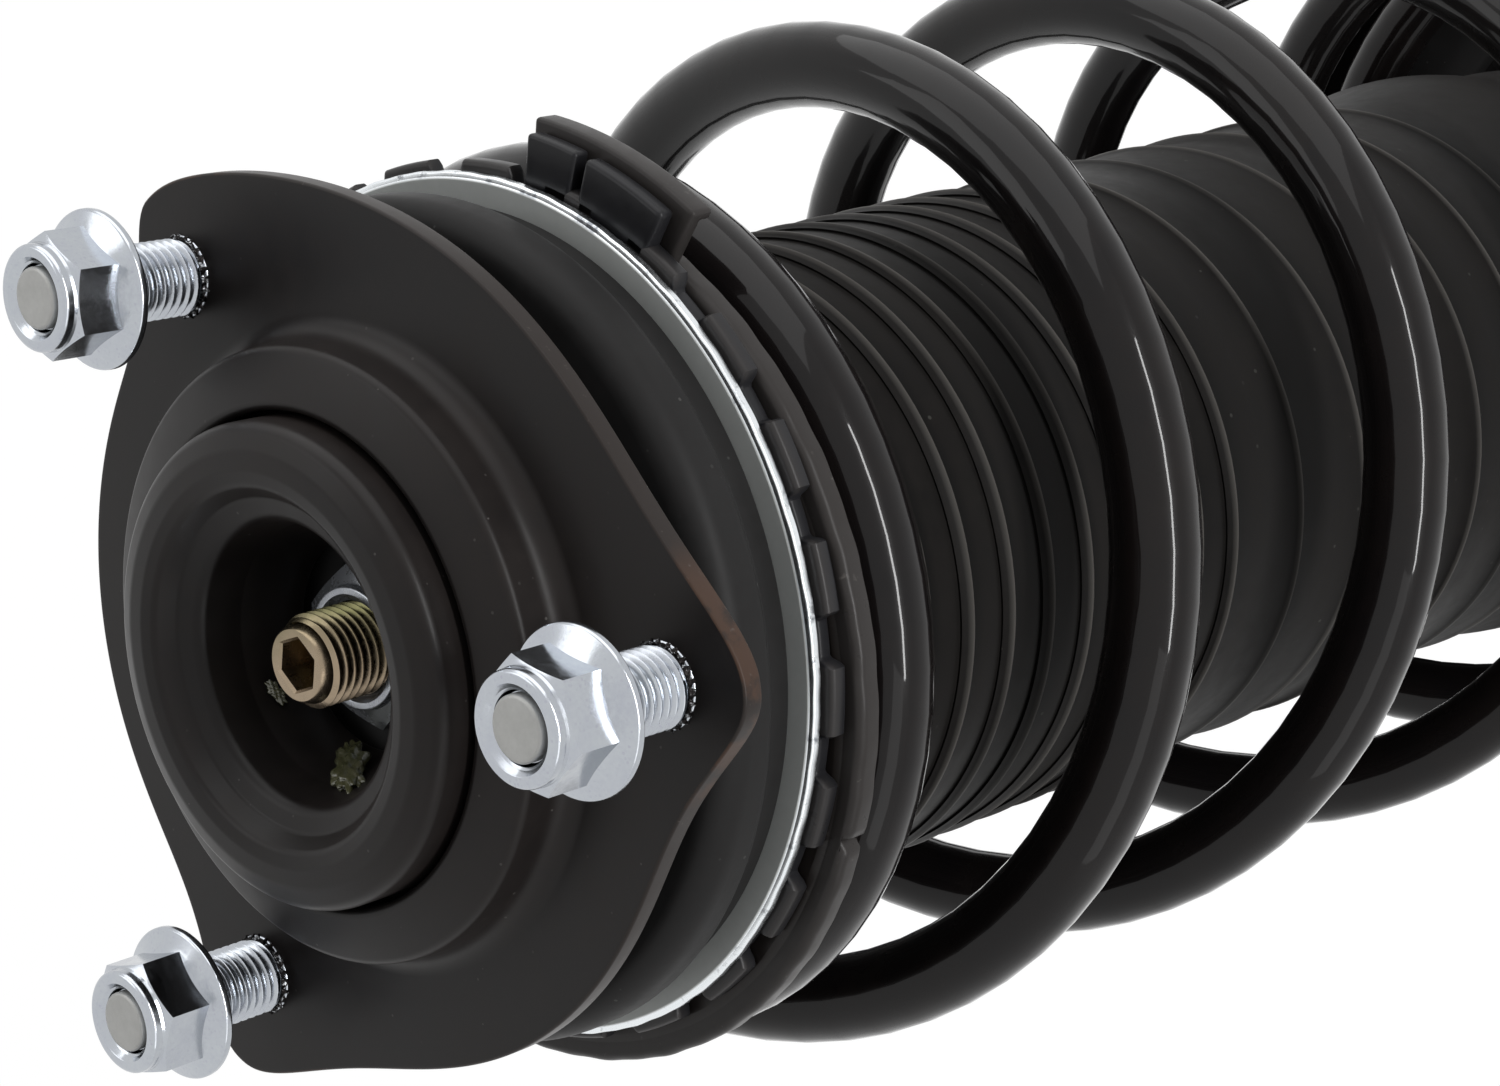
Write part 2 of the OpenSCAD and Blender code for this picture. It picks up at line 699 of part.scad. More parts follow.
module knuckle_bracket() {
    knuckle_low_z = knuckle_top_z - knuckle_pitch;
    length = bracket_top_z - bracket_end_z;
    color([0.05, 0.05, 0.05]) difference() {
        union() {
            ring(tube_r, tube_r + bracket_t, bracket_end_z, bracket_top_z);
            translate([0, 0, bracket_end_z]) linear_extrude(height = length) bracket_wall();
            translate([0, 0, bracket_end_z]) linear_extrude(height = length)
                mirror([0, 1, 0]) bracket_wall();
        }
        translate([0, 100, 0]) rotate([90, 0, 0]) linear_extrude(height = 200) polygon([
            [30, bracket_top_z + 1], [44, knuckle_top_z + 22], [ear_end_x - 10, knuckle_top_z + 15],
            [ear_end_x - 1, knuckle_top_z + 5], [ear_end_x + 5, knuckle_top_z + 5],
            [ear_end_x + 5, bracket_top_z + 1]]);
        translate([0, 100, 0]) rotate([90, 0, 0]) linear_extrude(height = 200) polygon([
            [36, bracket_end_z - 1], [ear_end_x - 8, bracket_end_z + 3],
            [ear_end_x + 5, bracket_end_z + 14], [ear_end_x + 5, bracket_end_z - 1]]);
        for (z = [knuckle_top_z, knuckle_low_z]) translate([knuckle_reach, 60, z])
            rotate([90, 0, 0]) cylinder(r = knuckle_hole_r, h = 120);
    }
}

// Plate welded to the tube's side, with the hole for the stabilizer link
module stabilizer_bracket() {
    plate = 6;
    reach = 46;
    z = -406.4;
    color([0.05, 0.05, 0.05]) difference() {
        union() {
            translate([-plate / 2, -reach, z - 14]) cube([plate, reach, 28]);
            translate([-plate / 2, -reach, z]) rotate([0, 90, 0]) cylinder(r = 14, h = plate);
        }
        translate([-20, -reach, z]) rotate([0, 90, 0]) cylinder(r = link_hole_r, h = 40);
        translate([0, 0, z - 30]) cylinder(r = tube_r, h = 60);
    }
}

// Angled tab for the brake hose and its sensor wire
module hose_bracket() {
    sheet = 3;
    width = 28;
    top = -398.4;
    foot_h = 26;
    hole_x = 47.5;
    color([0.05, 0.05, 0.05]) rotate([0, 0, 140]) difference() {
        union() {
            translate([tube_r - 4, -width / 2, top - foot_h]) cube([7, width, foot_h]);
            translate([tube_r - 4, -width / 2, top - sheet]) cube([hole_x - tube_r + 4, width, sheet]);
            translate([hole_x, 0, top - sheet]) cylinder(r = width / 2, h = sheet);
        }
        translate([hole_x, 0, top - 20]) cylinder(r = hose_hole_r, h = 40);
        translate([0, 0, top - 60]) cylinder(r = tube_r, h = 80);
    }
}

stud_flange_nuts();
mount_studs();
mount_top_plate();
mount_inner_cup();
mount_rubber();
mount_inner_sleeve();
mount_lower_plate();
rod_lock_nut();
bearing_upper_race();
bearing_balls();
bearing_cage();
bearing_lower_race();
bearing_dust_seal();
upper_spring_seat();
upper_spring_insulator();
coil_spring();
dust_boot();
stop_washer();
bump_stop();
piston_rod();
rebound_stop();
piston();
piston_band();
piston_nut();
tube_cap();
rod_seal();
rod_guide();
strut_tube();
inner_cylinder();
base_valve();
bottom_cap();
lower_spring_seat();
lower_spring_pad();
knuckle_bracket();
hose_bracket();
stabilizer_bracket();
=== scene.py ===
import math

import bmesh
import bpy
from mathutils import Matrix, Vector


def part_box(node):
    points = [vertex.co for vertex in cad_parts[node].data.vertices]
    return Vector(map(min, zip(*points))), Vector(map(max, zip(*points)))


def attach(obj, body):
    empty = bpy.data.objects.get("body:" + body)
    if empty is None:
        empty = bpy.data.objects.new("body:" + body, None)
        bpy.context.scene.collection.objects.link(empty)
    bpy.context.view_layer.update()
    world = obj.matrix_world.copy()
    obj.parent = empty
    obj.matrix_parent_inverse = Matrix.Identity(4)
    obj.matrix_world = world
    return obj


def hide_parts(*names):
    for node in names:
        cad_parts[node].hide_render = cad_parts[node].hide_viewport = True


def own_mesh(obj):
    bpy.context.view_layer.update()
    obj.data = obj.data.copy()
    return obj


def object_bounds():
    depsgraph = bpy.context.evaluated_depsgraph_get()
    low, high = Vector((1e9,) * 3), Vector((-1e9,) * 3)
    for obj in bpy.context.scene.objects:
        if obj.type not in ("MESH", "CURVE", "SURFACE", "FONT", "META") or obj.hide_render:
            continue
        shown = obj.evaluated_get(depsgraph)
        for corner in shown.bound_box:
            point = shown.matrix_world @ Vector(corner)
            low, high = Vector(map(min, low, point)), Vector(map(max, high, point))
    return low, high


bl_info = {
    "name": "Coil-over strut",
    "version": (1, 0, 0),
    "blender": (4, 5, 0),
    "location": "View3D > Sidebar > Strut",
    "description": "Builds a coil-over strut with its top mount, spring, boot and damper",
    "category": "Mesh",
}

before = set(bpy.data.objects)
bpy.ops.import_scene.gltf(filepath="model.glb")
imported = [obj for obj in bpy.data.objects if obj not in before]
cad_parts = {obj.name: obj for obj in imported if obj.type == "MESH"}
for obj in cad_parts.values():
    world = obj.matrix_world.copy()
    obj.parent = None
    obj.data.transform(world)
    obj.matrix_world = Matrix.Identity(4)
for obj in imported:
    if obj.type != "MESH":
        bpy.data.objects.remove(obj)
CAD_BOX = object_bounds()

MM = 0.001  # pieces are modelled in millimetres and scaled when they are finished
TAU = math.tau
AXIS = (0.0, 0.0, 1.0)


def low_high(node):
    """Lowest and highest corner of a CAD node in millimetres."""
    low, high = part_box(node)
    return low / MM, high / MM


LEAN = (Matrix.Rotation(math.radians(-0.24), 4, "Y") @
        Matrix.Rotation(math.radians(-1.1), 4, "X"))
SPRING_LOW, SPRING_HIGH = (c.z for c in low_high("coil_spring"))
BOOT_LOW, BOOT_HIGH = (c.z for c in low_high("dust_boot"))
SEAT_Y = -3.5  # the upper seat and the spring's upper end stand this far off the axis
MERGE = 1e-4  # vertices of a spun mesh that lie closer than this are merged


# ---------------------------------------------------------------- settings

def length(name, text, value):
    return bpy.props.FloatProperty(name=name, description=text, default=value * MM,
                                   unit="LENGTH", precision=4)


def paint(name, text, value):
    return bpy.props.FloatVectorProperty(name=name, description=text, default=value, size=3,
                                         subtype="COLOR", min=0.0, max=1.0)


class StrutSizes(bpy.types.PropertyGroup):
    stud_circle: length("Stud circle", "Radius of the circle through the three studs", 53.3)
    stud_angle: bpy.props.FloatProperty(
        name="First stud", description="Angle of the first stud from +X",
        default=math.radians(105.1), subtype="ANGLE")
    stud_height: length("Stud height", "Height of the stud ends above the plate", 22.5)
    nut_seat: length("Nut seat", "Height of the nuts' seating faces above the plate", 12.7)
    nut_height: length("Nut height", "Height of the flange nuts", 9.95)
    thread_pitch: length("Thread pitch", "Pitch of the studs' and the rod's thread", 1.25)
    nut_flats: length("Nut flats", "Width across the flats of the flange nuts", 14.0)
    plate_radius: length("Plate radius", "Radius of the top plate between its lobes", 53.3)
    plate_thickness: length("Plate thickness", "Thickness of the top plate", 2.8)
    cup_height: length("Cup height", "Height of the inner cup above the plate", 14.3)
    rubber_radius: length("Rubber radius", "Radius of the mount's upper bulge", 54.6)
    rim_radius: length("Lower plate radius", "Radius of the plated lower plate", 56.5)
    wire: length("Wire", "Diameter of the spring wire", 12.0)
    rod: length("Rod", "Diameter of the piston rod", 22.0)
    tube: length("Tube", "Outer diameter of the strut tube", 51.0)
    boot_radius: length("Boot radius", "Radius of the boot at its top", 43.5)
    rib_height: length("Rib height", "How far the boot's ribs stand out", 0.7)


class StrutFinishes(bpy.types.PropertyGroup):
    plate: paint("Pressed plate", "Satin black coat of the pressed plate and cup",
                 (0.0095, 0.0082, 0.0080))
    worn: paint("Worn edge", "Brown steel where the coat is rubbed", (0.060, 0.034, 0.023))
    zinc: paint("Bright zinc", "Blue-white zinc of the nuts and studs", (0.44, 0.465, 0.49))
    annulus: paint("Satin zinc", "Matte grey zinc of the lower plate", (0.42, 0.435, 0.425))
    rubber: paint("Rubber", "Moulded rubber of the mount", (0.013, 0.0126, 0.0126))
    seal: paint("Seal", "Moulded dust seal", (0.012, 0.012, 0.0135))
    coil: paint("Spring coat", "Glossy black coat of the spring", (0.0045, 0.004, 0.0045))
    boot: paint("Boot", "Moulded dust boot", (0.0062, 0.0058, 0.0057))
    bronze: paint("Rod end", "Oiled brown steel of the rod's threaded end",
                  (0.30, 0.235, 0.165))
    grease: paint("Grease", "Olive grease round the rod's end", (0.085, 0.09, 0.035))
    tube: paint("Tube coat", "Semi-gloss black coat of the tube and brackets",
                (0.010, 0.0098, 0.0102))
    backdrop: paint("Floor", "Pale studio floor", (0.80, 0.80, 0.80))


def sizes():
    return bpy.context.scene.strut_sizes


def finishes():
    return bpy.context.scene.strut_finishes


# ---------------------------------------------------------------- mesh tools

def rounded(points, closed=True, steps=5):
    """Path through (x, y) points, with the corner at each (x, y, radius) point rounded."""
    path = []
    count = len(points)
    for i, point in enumerate(points):
        corner = Vector(point[:2])
        radius = point[2] if len(point) > 2 else 0.0
        if radius == 0 or (not closed and i in (0, count - 1)):
            path.append(corner)
            continue
        back = Vector(points[i - 1][:2]) - corner
        ahead = Vector(points[(i + 1) % count][:2]) - corner
        half = back.angle(ahead) / 2
        if half > math.pi / 2 - 0.01:  # all but straight: nothing to round
            path.append(corner)
            continue
        reach = min(radius / math.tan(half), back.length * 0.49, ahead.length * 0.49)
        radius = reach * math.tan(half)
        start = corner + back.normalized() * reach
        end = corner + ahead.normalized() * reach
        centre = corner + (back.normalized() + ahead.normalized()).normalized() * (
            radius / math.sin(half))
        a, b = start - centre, end - centre
        sweep = a.angle_signed(b)
        for k in range(steps + 1):
            turn = Matrix.Rotation(-sweep * k / steps, 2)
            path.append(centre + turn @ a)
    return path


def lathe(bm, path, steps, closed=True, centre=(0.0, 0.0)):
    """Spins a path of (radius, height) points round the upright axis at centre."""
    first = [bm.verts.new((centre[0] + r, centre[1], z)) for r, z in path]
    pairs = list(zip(first, first[1:]))
    if closed:
        pairs.append((first[-1], first[0]))
    edges = [bm.edges.new(p) for p in pairs]
    known = set(bm.verts) - set(first)
    bmesh.ops.spin(bm, geom=first + edges, cent=(centre[0], centre[1], 0.0), axis=AXIS,
                   angle=TAU, steps=steps, use_merge=True)
    made = [v for v in bm.verts if v not in known]
    bmesh.ops.remove_doubles(bm, verts=made, dist=MERGE)
    return [v for v in bm.verts if v not in known]


def reshape(verts, rule, centre=(0.0, 0.0)):
    """Moves each vertex to the (radius, height) that rule(radius, angle, height) gives."""
    for v in verts:
        x, y = v.co.x - centre[0], v.co.y - centre[1]
        r, a = math.hypot(x, y), math.atan2(y, x)
        new_r, new_z = rule(r, a, v.co.z)
        v.co.x = centre[0] + new_r * math.cos(a)
        v.co.y = centre[1] + new_r * math.sin(a)
        v.co.z = new_z


def ease(x):
    """Runs smoothly from 0 to 1 as x does."""
    t = min(1.0, max(0.0, x))
    return t * t * (3 - 2 * t)


def hexagon(a, flats):
    """Distance from the centre to a hexagon's side in direction a."""
    return flats / 2 / math.cos((a % (TAU / 6)) - TAU / 12)


def screw_thread(bm, low, high, crest, pitch, steps=36):
    """A helical thread of 60 degree ridges that fades out at its upper end."""
    root = crest - 0.61 * pitch
    profile = [(root, 0.0), (root, 0.12), (crest - 0.04, 0.44), (crest, 0.5),
               (crest - 0.04, 0.56), (root, 0.88), (root, 1.0)]
    first = [bm.verts.new((r, 0.0, low + share * pitch)) for r, share in profile]
    edges = [bm.edges.new(p) for p in zip(first, first[1:])]
    known = set(bm.verts) - set(first)
    count = int(((high - low) / pitch - 1) * steps)
    bmesh.ops.spin(bm, geom=first + edges, cent=(0, 0, 0), axis=AXIS,
                   dvec=(0, 0, pitch / steps), angle=TAU * count / steps, steps=count)
    made = [v for v in bm.verts if v not in known]
    bmesh.ops.remove_doubles(bm, verts=made, dist=MERGE * 10)
    made = [v for v in bm.verts if v not in known]

    def fade(r, a, z):
        share = min(1.0, max(0.0, (high - z) / pitch))
        return root + (r - root) * share, z

    reshape(made, fade)
    return made


def spun_block(bm, section, start, end, steps, bevel):
    """Spins a section of (radius, height) points from start to end degrees and bevels it."""
    start, end = math.radians(start), math.radians(end)
    block = [bm.verts.new((r * math.cos(start), r * math.sin(start), z)) for r, z in section]
    face = bm.faces.new(block)
    before = set(bm.verts) - set(block)
    bmesh.ops.spin(bm, geom=[face] + list(face.edges) + block, cent=(0, 0, 0), axis=AXIS,
                   angle=end - start, steps=steps)
    made = {v for v in bm.verts if v not in before}
    faces = [f for f in bm.faces if all(v in made for v in f.verts)]
    bmesh.ops.recalc_face_normals(bm, faces=faces)
    corners = [e for e in bm.edges if e.verts[0] in made and e.verts[1] in made
               and len(e.link_faces) == 2 and e.calc_face_angle(0) > 0.6]
    bmesh.ops.bevel(bm, geom=corners, offset=bevel, segments=4, profile=0.5, material=-1,
                    affect="EDGES", clamp_overlap=True)


def lean(bm):
    """Leans the whole mesh with the top plate."""
    bmesh.ops.transform(bm, matrix=LEAN, verts=bm.verts)


def on_studs(bm, verts, lift=0.0, turns=(0.0, 0.0, 0.0)):
    """Moves what stands at the origin to all three studs, each copy with its turn."""
    s = sizes()
    chosen = set(verts)
    geom = list(verts) + [e for e in bm.edges if e.verts[0] in chosen and e.verts[1] in chosen]
    geom += [f for f in bm.faces if all(v in chosen for v in f.verts)]
    for i, turn in enumerate(turns):
        a = s.stud_angle - i * TAU / 3
        spot = Vector((math.cos(a), math.sin(a), 0)) * s.stud_circle / MM
        place = Matrix.Translation(spot) @ Matrix.Rotation(math.radians(turn), 4, "Z")
        copy = bmesh.ops.duplicate(bm, geom=geom)["geom"]
        moved = [g for g in copy if isinstance(g, bmesh.types.BMVert)]
        bmesh.ops.transform(bm, matrix=place @ Matrix.Translation((0, 0, lift)), verts=moved)
    bmesh.ops.delete(bm, geom=list(verts), context="VERTS")
    lean(bm)


def out_from_axis(v, y=0.0):
    return math.hypot(v.co.x, v.co.y - y)


def mark(bm, name, rule):
    """Stores rule(vertex) as a point attribute for the materials."""
    layer = bm.verts.layers.float.new(name)
    for v in bm.verts:
        v[layer] = rule(v)


def finish_piece(bm, name, body, nodes, finish, sharp=35.0):
    """Turns a bmesh in millimetres into a finished piece of the strut."""
    bmesh.ops.recalc_face_normals(bm, faces=bm.faces)
    bmesh.ops.scale(bm, vec=(MM, MM, MM), verts=bm.verts)
    mesh = bpy.data.meshes.new(name)
    bm.to_mesh(mesh)
    bm.free()
    mesh.shade_smooth()
    mesh.set_sharp_from_angle(angle=math.radians(sharp))
    piece = bpy.data.objects.new(name, mesh)
    bpy.context.scene.collection.objects.link(piece)
    mesh.materials.append(finish_of(finish))
    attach(piece, body)
    if nodes:
        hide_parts(*nodes)
    return piece


# ---------------------------------------------------------------- shader groups

def new_group(name, **values):
    """A shader group that takes a vector and the given values and puts out one mask."""
    tree = bpy.data.node_groups.new(name, "ShaderNodeTree")
    tree.interface.new_socket("Vector", in_out="INPUT", socket_type="NodeSocketVector")
    for label, value in values.items():
        socket = tree.interface.new_socket(label, in_out="INPUT", socket_type="NodeSocketFloat")
        socket.default_value = value
    tree.interface.new_socket("Mask", in_out="OUTPUT", socket_type="NodeSocketFloat")
    given = tree.nodes.new("NodeGroupInput").outputs
    return tree, given, tree.nodes.new("NodeGroupOutput").inputs["Mask"]


def add(tree, kind, settings=None, **values):
    """Adds a node; settings are its own properties and values are its sockets."""
    n = tree.nodes.new(kind)
    for key, value in (settings or {}).items():
        setattr(n, key, value)
    for key, value in values.items():
        n.inputs[key.replace("_", " ")].default_value = value
    return n


def maths(tree, operation, first, second=None, clamp=False):
    n = add(tree, "ShaderNodeMath", {"operation": operation, "use_clamp": clamp})
    for socket, value in zip(n.inputs, (first, second)):
        if isinstance(value, (int, float)):
            socket.default_value = value
        elif value is not None:
            tree.links.new(value, socket)
    return n.outputs[0]


def ramp(tree, value, stops):
    n = add(tree, "ShaderNodeValToRGB")
    while len(n.color_ramp.elements) < len(stops):
        n.color_ramp.elements.new(0.5)
    for element, (place, level) in zip(n.color_ramp.elements, stops):
        element.position = place
        element.color = (level, level, level, 1)
    tree.links.new(value, n.inputs[0])
    return n.outputs[0]


def mix_colour(tree, share, a, b):
    n = add(tree, "ShaderNodeMix", {"data_type": "RGBA"})
    for socket, value in ((n.inputs[0], share), (n.inputs[6], a), (n.inputs[7], b)):
        if isinstance(value, tuple):
            socket.default_value = value
        else:
            tree.links.new(value, socket)
    return n.outputs[2]


def seen_rays(tree):
    """1 for camera, glossy and transmission rays, which all show the pale background."""
    path = tree.nodes.new("ShaderNodeLightPath")
    seen = path.outputs["Is Camera Ray"]
    for name in ("Is Glossy Ray", "Is Transmission Ray"):
        seen = maths(tree, "MAXIMUM", seen, path.outputs[name])
    return seen


def texture(tree, kind, given, **values):
    """Adds a texture node that takes the vector and the scale given to its group."""
    n = add(tree, kind, **values)
    for label in ("Vector", "Scale"):
        tree.links.new(given[label], n.inputs[label])
    return n


def build_mottle():
    """Cloudy variation: a wide soft noise with a finer one over it."""
    tree, given, mask = new_group("mottle", Scale=60.0, Fine=6.0)
    wide = texture(tree, "ShaderNodeTexNoise", given, Detail=4.0, Roughness=0.55)
    fine = texture(tree, "ShaderNodeTexNoise", given, Detail=3.0, Roughness=0.6)
    tree.links.new(maths(tree, "MULTIPLY", given["Scale"], given["Fine"]), fine.inputs["Scale"])
    both = maths(tree, "ADD", maths(tree, "MULTIPLY", wide.outputs[0], 0.65),
                 maths(tree, "MULTIPLY", fine.outputs[0], 0.35))
    tree.links.new(ramp(tree, both, [(0.32, 0.0), (0.68, 1.0)]), mask)


def build_specks():
    """Small scattered dots, such as dust on a coat."""
    tree, given, mask = new_group("specks", Scale=400.0, Size=0.12, Share=0.3)
    cells = texture(tree, "ShaderNodeTexVoronoi", given)
    dot = maths(tree, "LESS_THAN", cells.outputs["Distance"], given["Size"])
    tone = add(tree, "ShaderNodeSeparateColor")
    tree.links.new(cells.outputs["Color"], tone.inputs[0])
    chosen = maths(tree, "LESS_THAN", tone.outputs[0], given["Share"])
    tree.links.new(maths(tree, "MULTIPLY", maths(tree, "MULTIPLY", dot, chosen),
                         tone.outputs[1]), mask)


def build_worn():
    """Breaks an edge mask up with noise, so that the wear and the painted edge highlight laid with
    it come and go along the edge.
    """
    tree, given, mask = new_group("worn", Edge=0.0, Scale=300.0, Amount=0.5)
    noise = texture(tree, "ShaderNodeTexNoise", given, Detail=6.0, Roughness=0.65)
    level = maths(tree, "ADD", noise.outputs[0], maths(tree, "SUBTRACT", given["Amount"], 1.0))
    broken = maths(tree, "MULTIPLY", level, 9.0, clamp=True)
    tree.links.new(maths(tree, "MULTIPLY", broken, given["Edge"], clamp=True), mask)


# ---------------------------------------------------------------- finishes

# keeps the finishes' names apart from those of the materials that come with the CAD nodes
FINISH_PREFIX = "finish_"


class Coat:
    """One material under way: its tree, its shader and the helpers that feed them."""

    def __init__(self, name, colour, metallic=0.0, roughness=0.5, **sockets):
        self.material = bpy.data.materials.new(FINISH_PREFIX + name)
        self.material.use_nodes = True
        self.tree = self.material.node_tree
        self.shader = self.tree.nodes["Principled BSDF"]
        self.colour = (*colour, 1)
        self.shader.inputs["Base Color"].default_value = self.colour
        self.shader.inputs["Metallic"].default_value = metallic
        self.shader.inputs["Roughness"].default_value = roughness
        for key, value in sockets.items():
            self.shader.inputs[key.replace("_", " ")].default_value = value
        self.place = self.tree.nodes.new("ShaderNodeTexCoord").outputs["Object"]

    def group(self, name, vector=None, **values):
        n = self.tree.nodes.new("ShaderNodeGroup")
        n.node_tree = bpy.data.node_groups[name]
        self.tree.links.new(vector or self.place, n.inputs["Vector"])
        for key, value in values.items():
            if isinstance(value, (int, float)):
                n.inputs[key].default_value = value
            else:
                self.tree.links.new(value, n.inputs[key])
        return n.outputs[0]

    def stretched(self, scale, turn=(0, 0, 0)):
        n = self.tree.nodes.new("ShaderNodeMapping")
        n.inputs["Scale"].default_value = scale
        n.inputs["Rotation"].default_value = turn
        self.tree.links.new(self.place, n.inputs["Vector"])
        return n.outputs[0]

    def attribute(self, name):
        n = add(self.tree, "ShaderNodeAttribute", {"attribute_name": name})
        return n.outputs["Fac"]

    def noise(self, scale, vector=None, detail=3.0, roughness=0.5, distortion=0.0):
        n = add(self.tree, "ShaderNodeTexNoise", Scale=scale, Detail=detail,
                Roughness=roughness, Distortion=distortion)
        self.tree.links.new(vector or self.place, n.inputs["Vector"])
        return n.outputs[0]

    def over(self, mask, colour, strength=1.0):
        """Lays another colour over the present one where mask is 1, and returns the mask."""
        share = mask if strength == 1.0 else maths(self.tree, "MULTIPLY", mask, strength)
        self.colour = mix_colour(self.tree, share, self.colour, (*colour, 1))
        self.tree.links.new(self.colour, self.shader.inputs["Base Color"])
        return mask

    def clouded(self, scale, fine, colour, strength):
        return self.over(self.group("mottle", Scale=scale, Fine=fine), colour, strength)

    def specked(self, scale, size, share, colour, strength):
        dots = self.group("specks", Scale=scale, Size=size, Share=share)
        return self.over(dots, colour, strength)

    def edged(self, edge, scale, amount, colour, strength):
        wear = self.group("worn", Edge=edge, Scale=scale, Amount=amount)
        return self.over(wear, colour, strength)

    def vary(self, socket, mask, low, high):
        n = add(self.tree, "ShaderNodeMapRange", To_Min=low, To_Max=high)
        self.tree.links.new(mask, n.inputs["Value"])
        self.tree.links.new(n.outputs[0], self.shader.inputs[socket])

    def relief(self, *layers):
        """Adds bumps: each layer is (height, strength, distance in millimetres)."""
        normal = None
        for height, strength, distance in layers:
            n = add(self.tree, "ShaderNodeBump", Strength=strength, Distance=distance * MM)
            self.tree.links.new(height, n.inputs["Height"])
            if normal:
                self.tree.links.new(normal, n.inputs["Normal"])
            normal = n.outputs[0]
        self.tree.links.new(normal, self.shader.inputs["Normal"])


def shade(colour, factor):
    return [x * factor for x in colour]


def finish_of(name):
    return bpy.data.materials[FINISH_PREFIX + name]


def make_coats(f):
    """Painted steel: plate, cup, tube, upper seat and spring."""
    # satin black dip coat with smudges, dust, streaks, a paler brown rim rubbed brown at the lobe
    # tips, and painted highlight flecks along the rim
    for name, tint, gloss in (("plate_coat", f.plate, 0.36), ("cup_coat", f.plate, 0.34),
                              ("tube_coat", f.tube, 0.27)):
        c = Coat(name, tint, roughness=gloss, Specular_IOR_Level=0.16)
        cloud = c.clouded(34.0, 9.0, (0.021, 0.016, 0.014), 0.4)
        c.specked(700.0, 0.13, 0.10, (0.20, 0.19, 0.18), 0.35)
        streak = c.group("worn", c.stretched((18.0, 240.0, 60.0), (0, 0, 0.7)), Edge=1.0,
                         Scale=1.0, Amount=0.295)
        c.over(streak, (0.045, 0.04, 0.037), 0.35)
        edge = c.over(c.attribute("edge"), (0.024, 0.019, 0.017), 0.8)
        c.edged(c.attribute("handled"), 170.0, 0.58, f.worn, 0.8)
        # pale grey flecks along the rim: painted edge highlight, broken up with noise
        c.edged(edge, 800.0, 0.36, (0.13, 0.115, 0.105), 0.8)
        c.vary("Roughness", cloud, gloss - 0.05, gloss + 0.08)
        c.relief((c.noise(240.0, detail=4.0), 0.08, 0.2), (c.noise(1500.0), 0.08, 0.05))

    # upper seat: black coat with a brown-grey rolled rim
    c = Coat("seat_coat", (0.013, 0.0105, 0.0095), roughness=0.32, Specular_IOR_Level=0.15)
    edge = c.over(c.attribute("edge"), (0.034, 0.031, 0.030), 0.9)
    cloud = c.clouded(60.0, 8.0, (0.020, 0.0170, 0.0155), 0.4)
    c.edged(edge, 420.0, 0.36, (0.15, 0.14, 0.13), 0.6)
    c.vary("Roughness", cloud, 0.26, 0.42)
    c.relief((c.noise(300.0, detail=4.0), 0.12, 0.25))

    # spring: thick glossy coat with a little waviness and a brown cast
    c = Coat("spring_coat", f.coil, roughness=0.24, Coat_Weight=1.0, Coat_Roughness=0.045,
             Coat_IOR=1.25, Specular_IOR_Level=0.05)
    cloud = c.clouded(22.0, 7.0, (0.0105, 0.0075, 0.0062), 0.6)
    c.vary("Roughness", cloud, 0.20, 0.32)
    c.relief((c.noise(120.0, detail=2.0), 0.04, 0.3), (c.noise(1300.0), 0.02, 0.04))


def make_zincs(f):
    """Zinc plated steel: nuts, studs, their knurls and ends, and the lower plate."""
    # bright zinc with a faint violet bloom and fine tool marks
    for name, rough, metal in (("nut_zinc", 0.15, 1.0), ("thread_zinc", 0.20, 1.0),
                               ("rod_nut_zinc", 0.24, 0.6)):
        c = Coat(name, f.zinc, metallic=metal, roughness=rough)
        cloud = c.clouded(190.0, 8.0, (0.30, 0.31, 0.39), 0.30)
        c.specked(1900.0, 0.36, 0.40, (0.30, 0.29, 0.38), 0.22)
        c.vary("Roughness", cloud, rough - 0.05, rough + 0.12)
        c.relief((c.noise(520.0, detail=4.0), 0.10, 0.10), (c.noise(2600.0), 0.08, 0.04))

    # knurled collar: bright ridges with black coat left in the grooves
    c = Coat("knurl", (0.62, 0.64, 0.67), metallic=1.0, roughness=0.32)
    grain = c.noise(1500.0, detail=6.0, roughness=0.75)
    c.over(ramp(c.tree, grain, [(0.36, 0.0), (0.46, 1.0)]), (0.010, 0.009, 0.009))
    c.relief((c.noise(1100.0, detail=4.0), 0.5, 0.5))

    # cut stud end: pale, dull zinc
    c = Coat("stud_end", (0.62, 0.62, 0.60), metallic=0.25, roughness=0.44)
    c.clouded(420.0, 5.0, (0.46, 0.46, 0.44), 0.5)
    c.relief((c.noise(900.0, detail=5.0), 0.25, 0.15))

    # matte zinc of the lower plate with its bright, chipped rim
    c = Coat("annulus_zinc", f.annulus, metallic=0.35, roughness=0.58)
    c.clouded(90.0, 8.0, shade(f.annulus, 0.72), 0.35)
    edge = c.over(c.attribute("edge"), (0.75, 0.78, 0.80))
    c.edged(edge, 260.0, 0.44, (0.16, 0.17, 0.19), 0.9)
    c.vary("Metallic", edge, 0.35, 1.0)
    c.vary("Roughness", edge, 0.58, 0.26)
    c.relief((c.noise(420.0, detail=5.0), 0.08, 0.10), (edge, 0.04, 0.1))


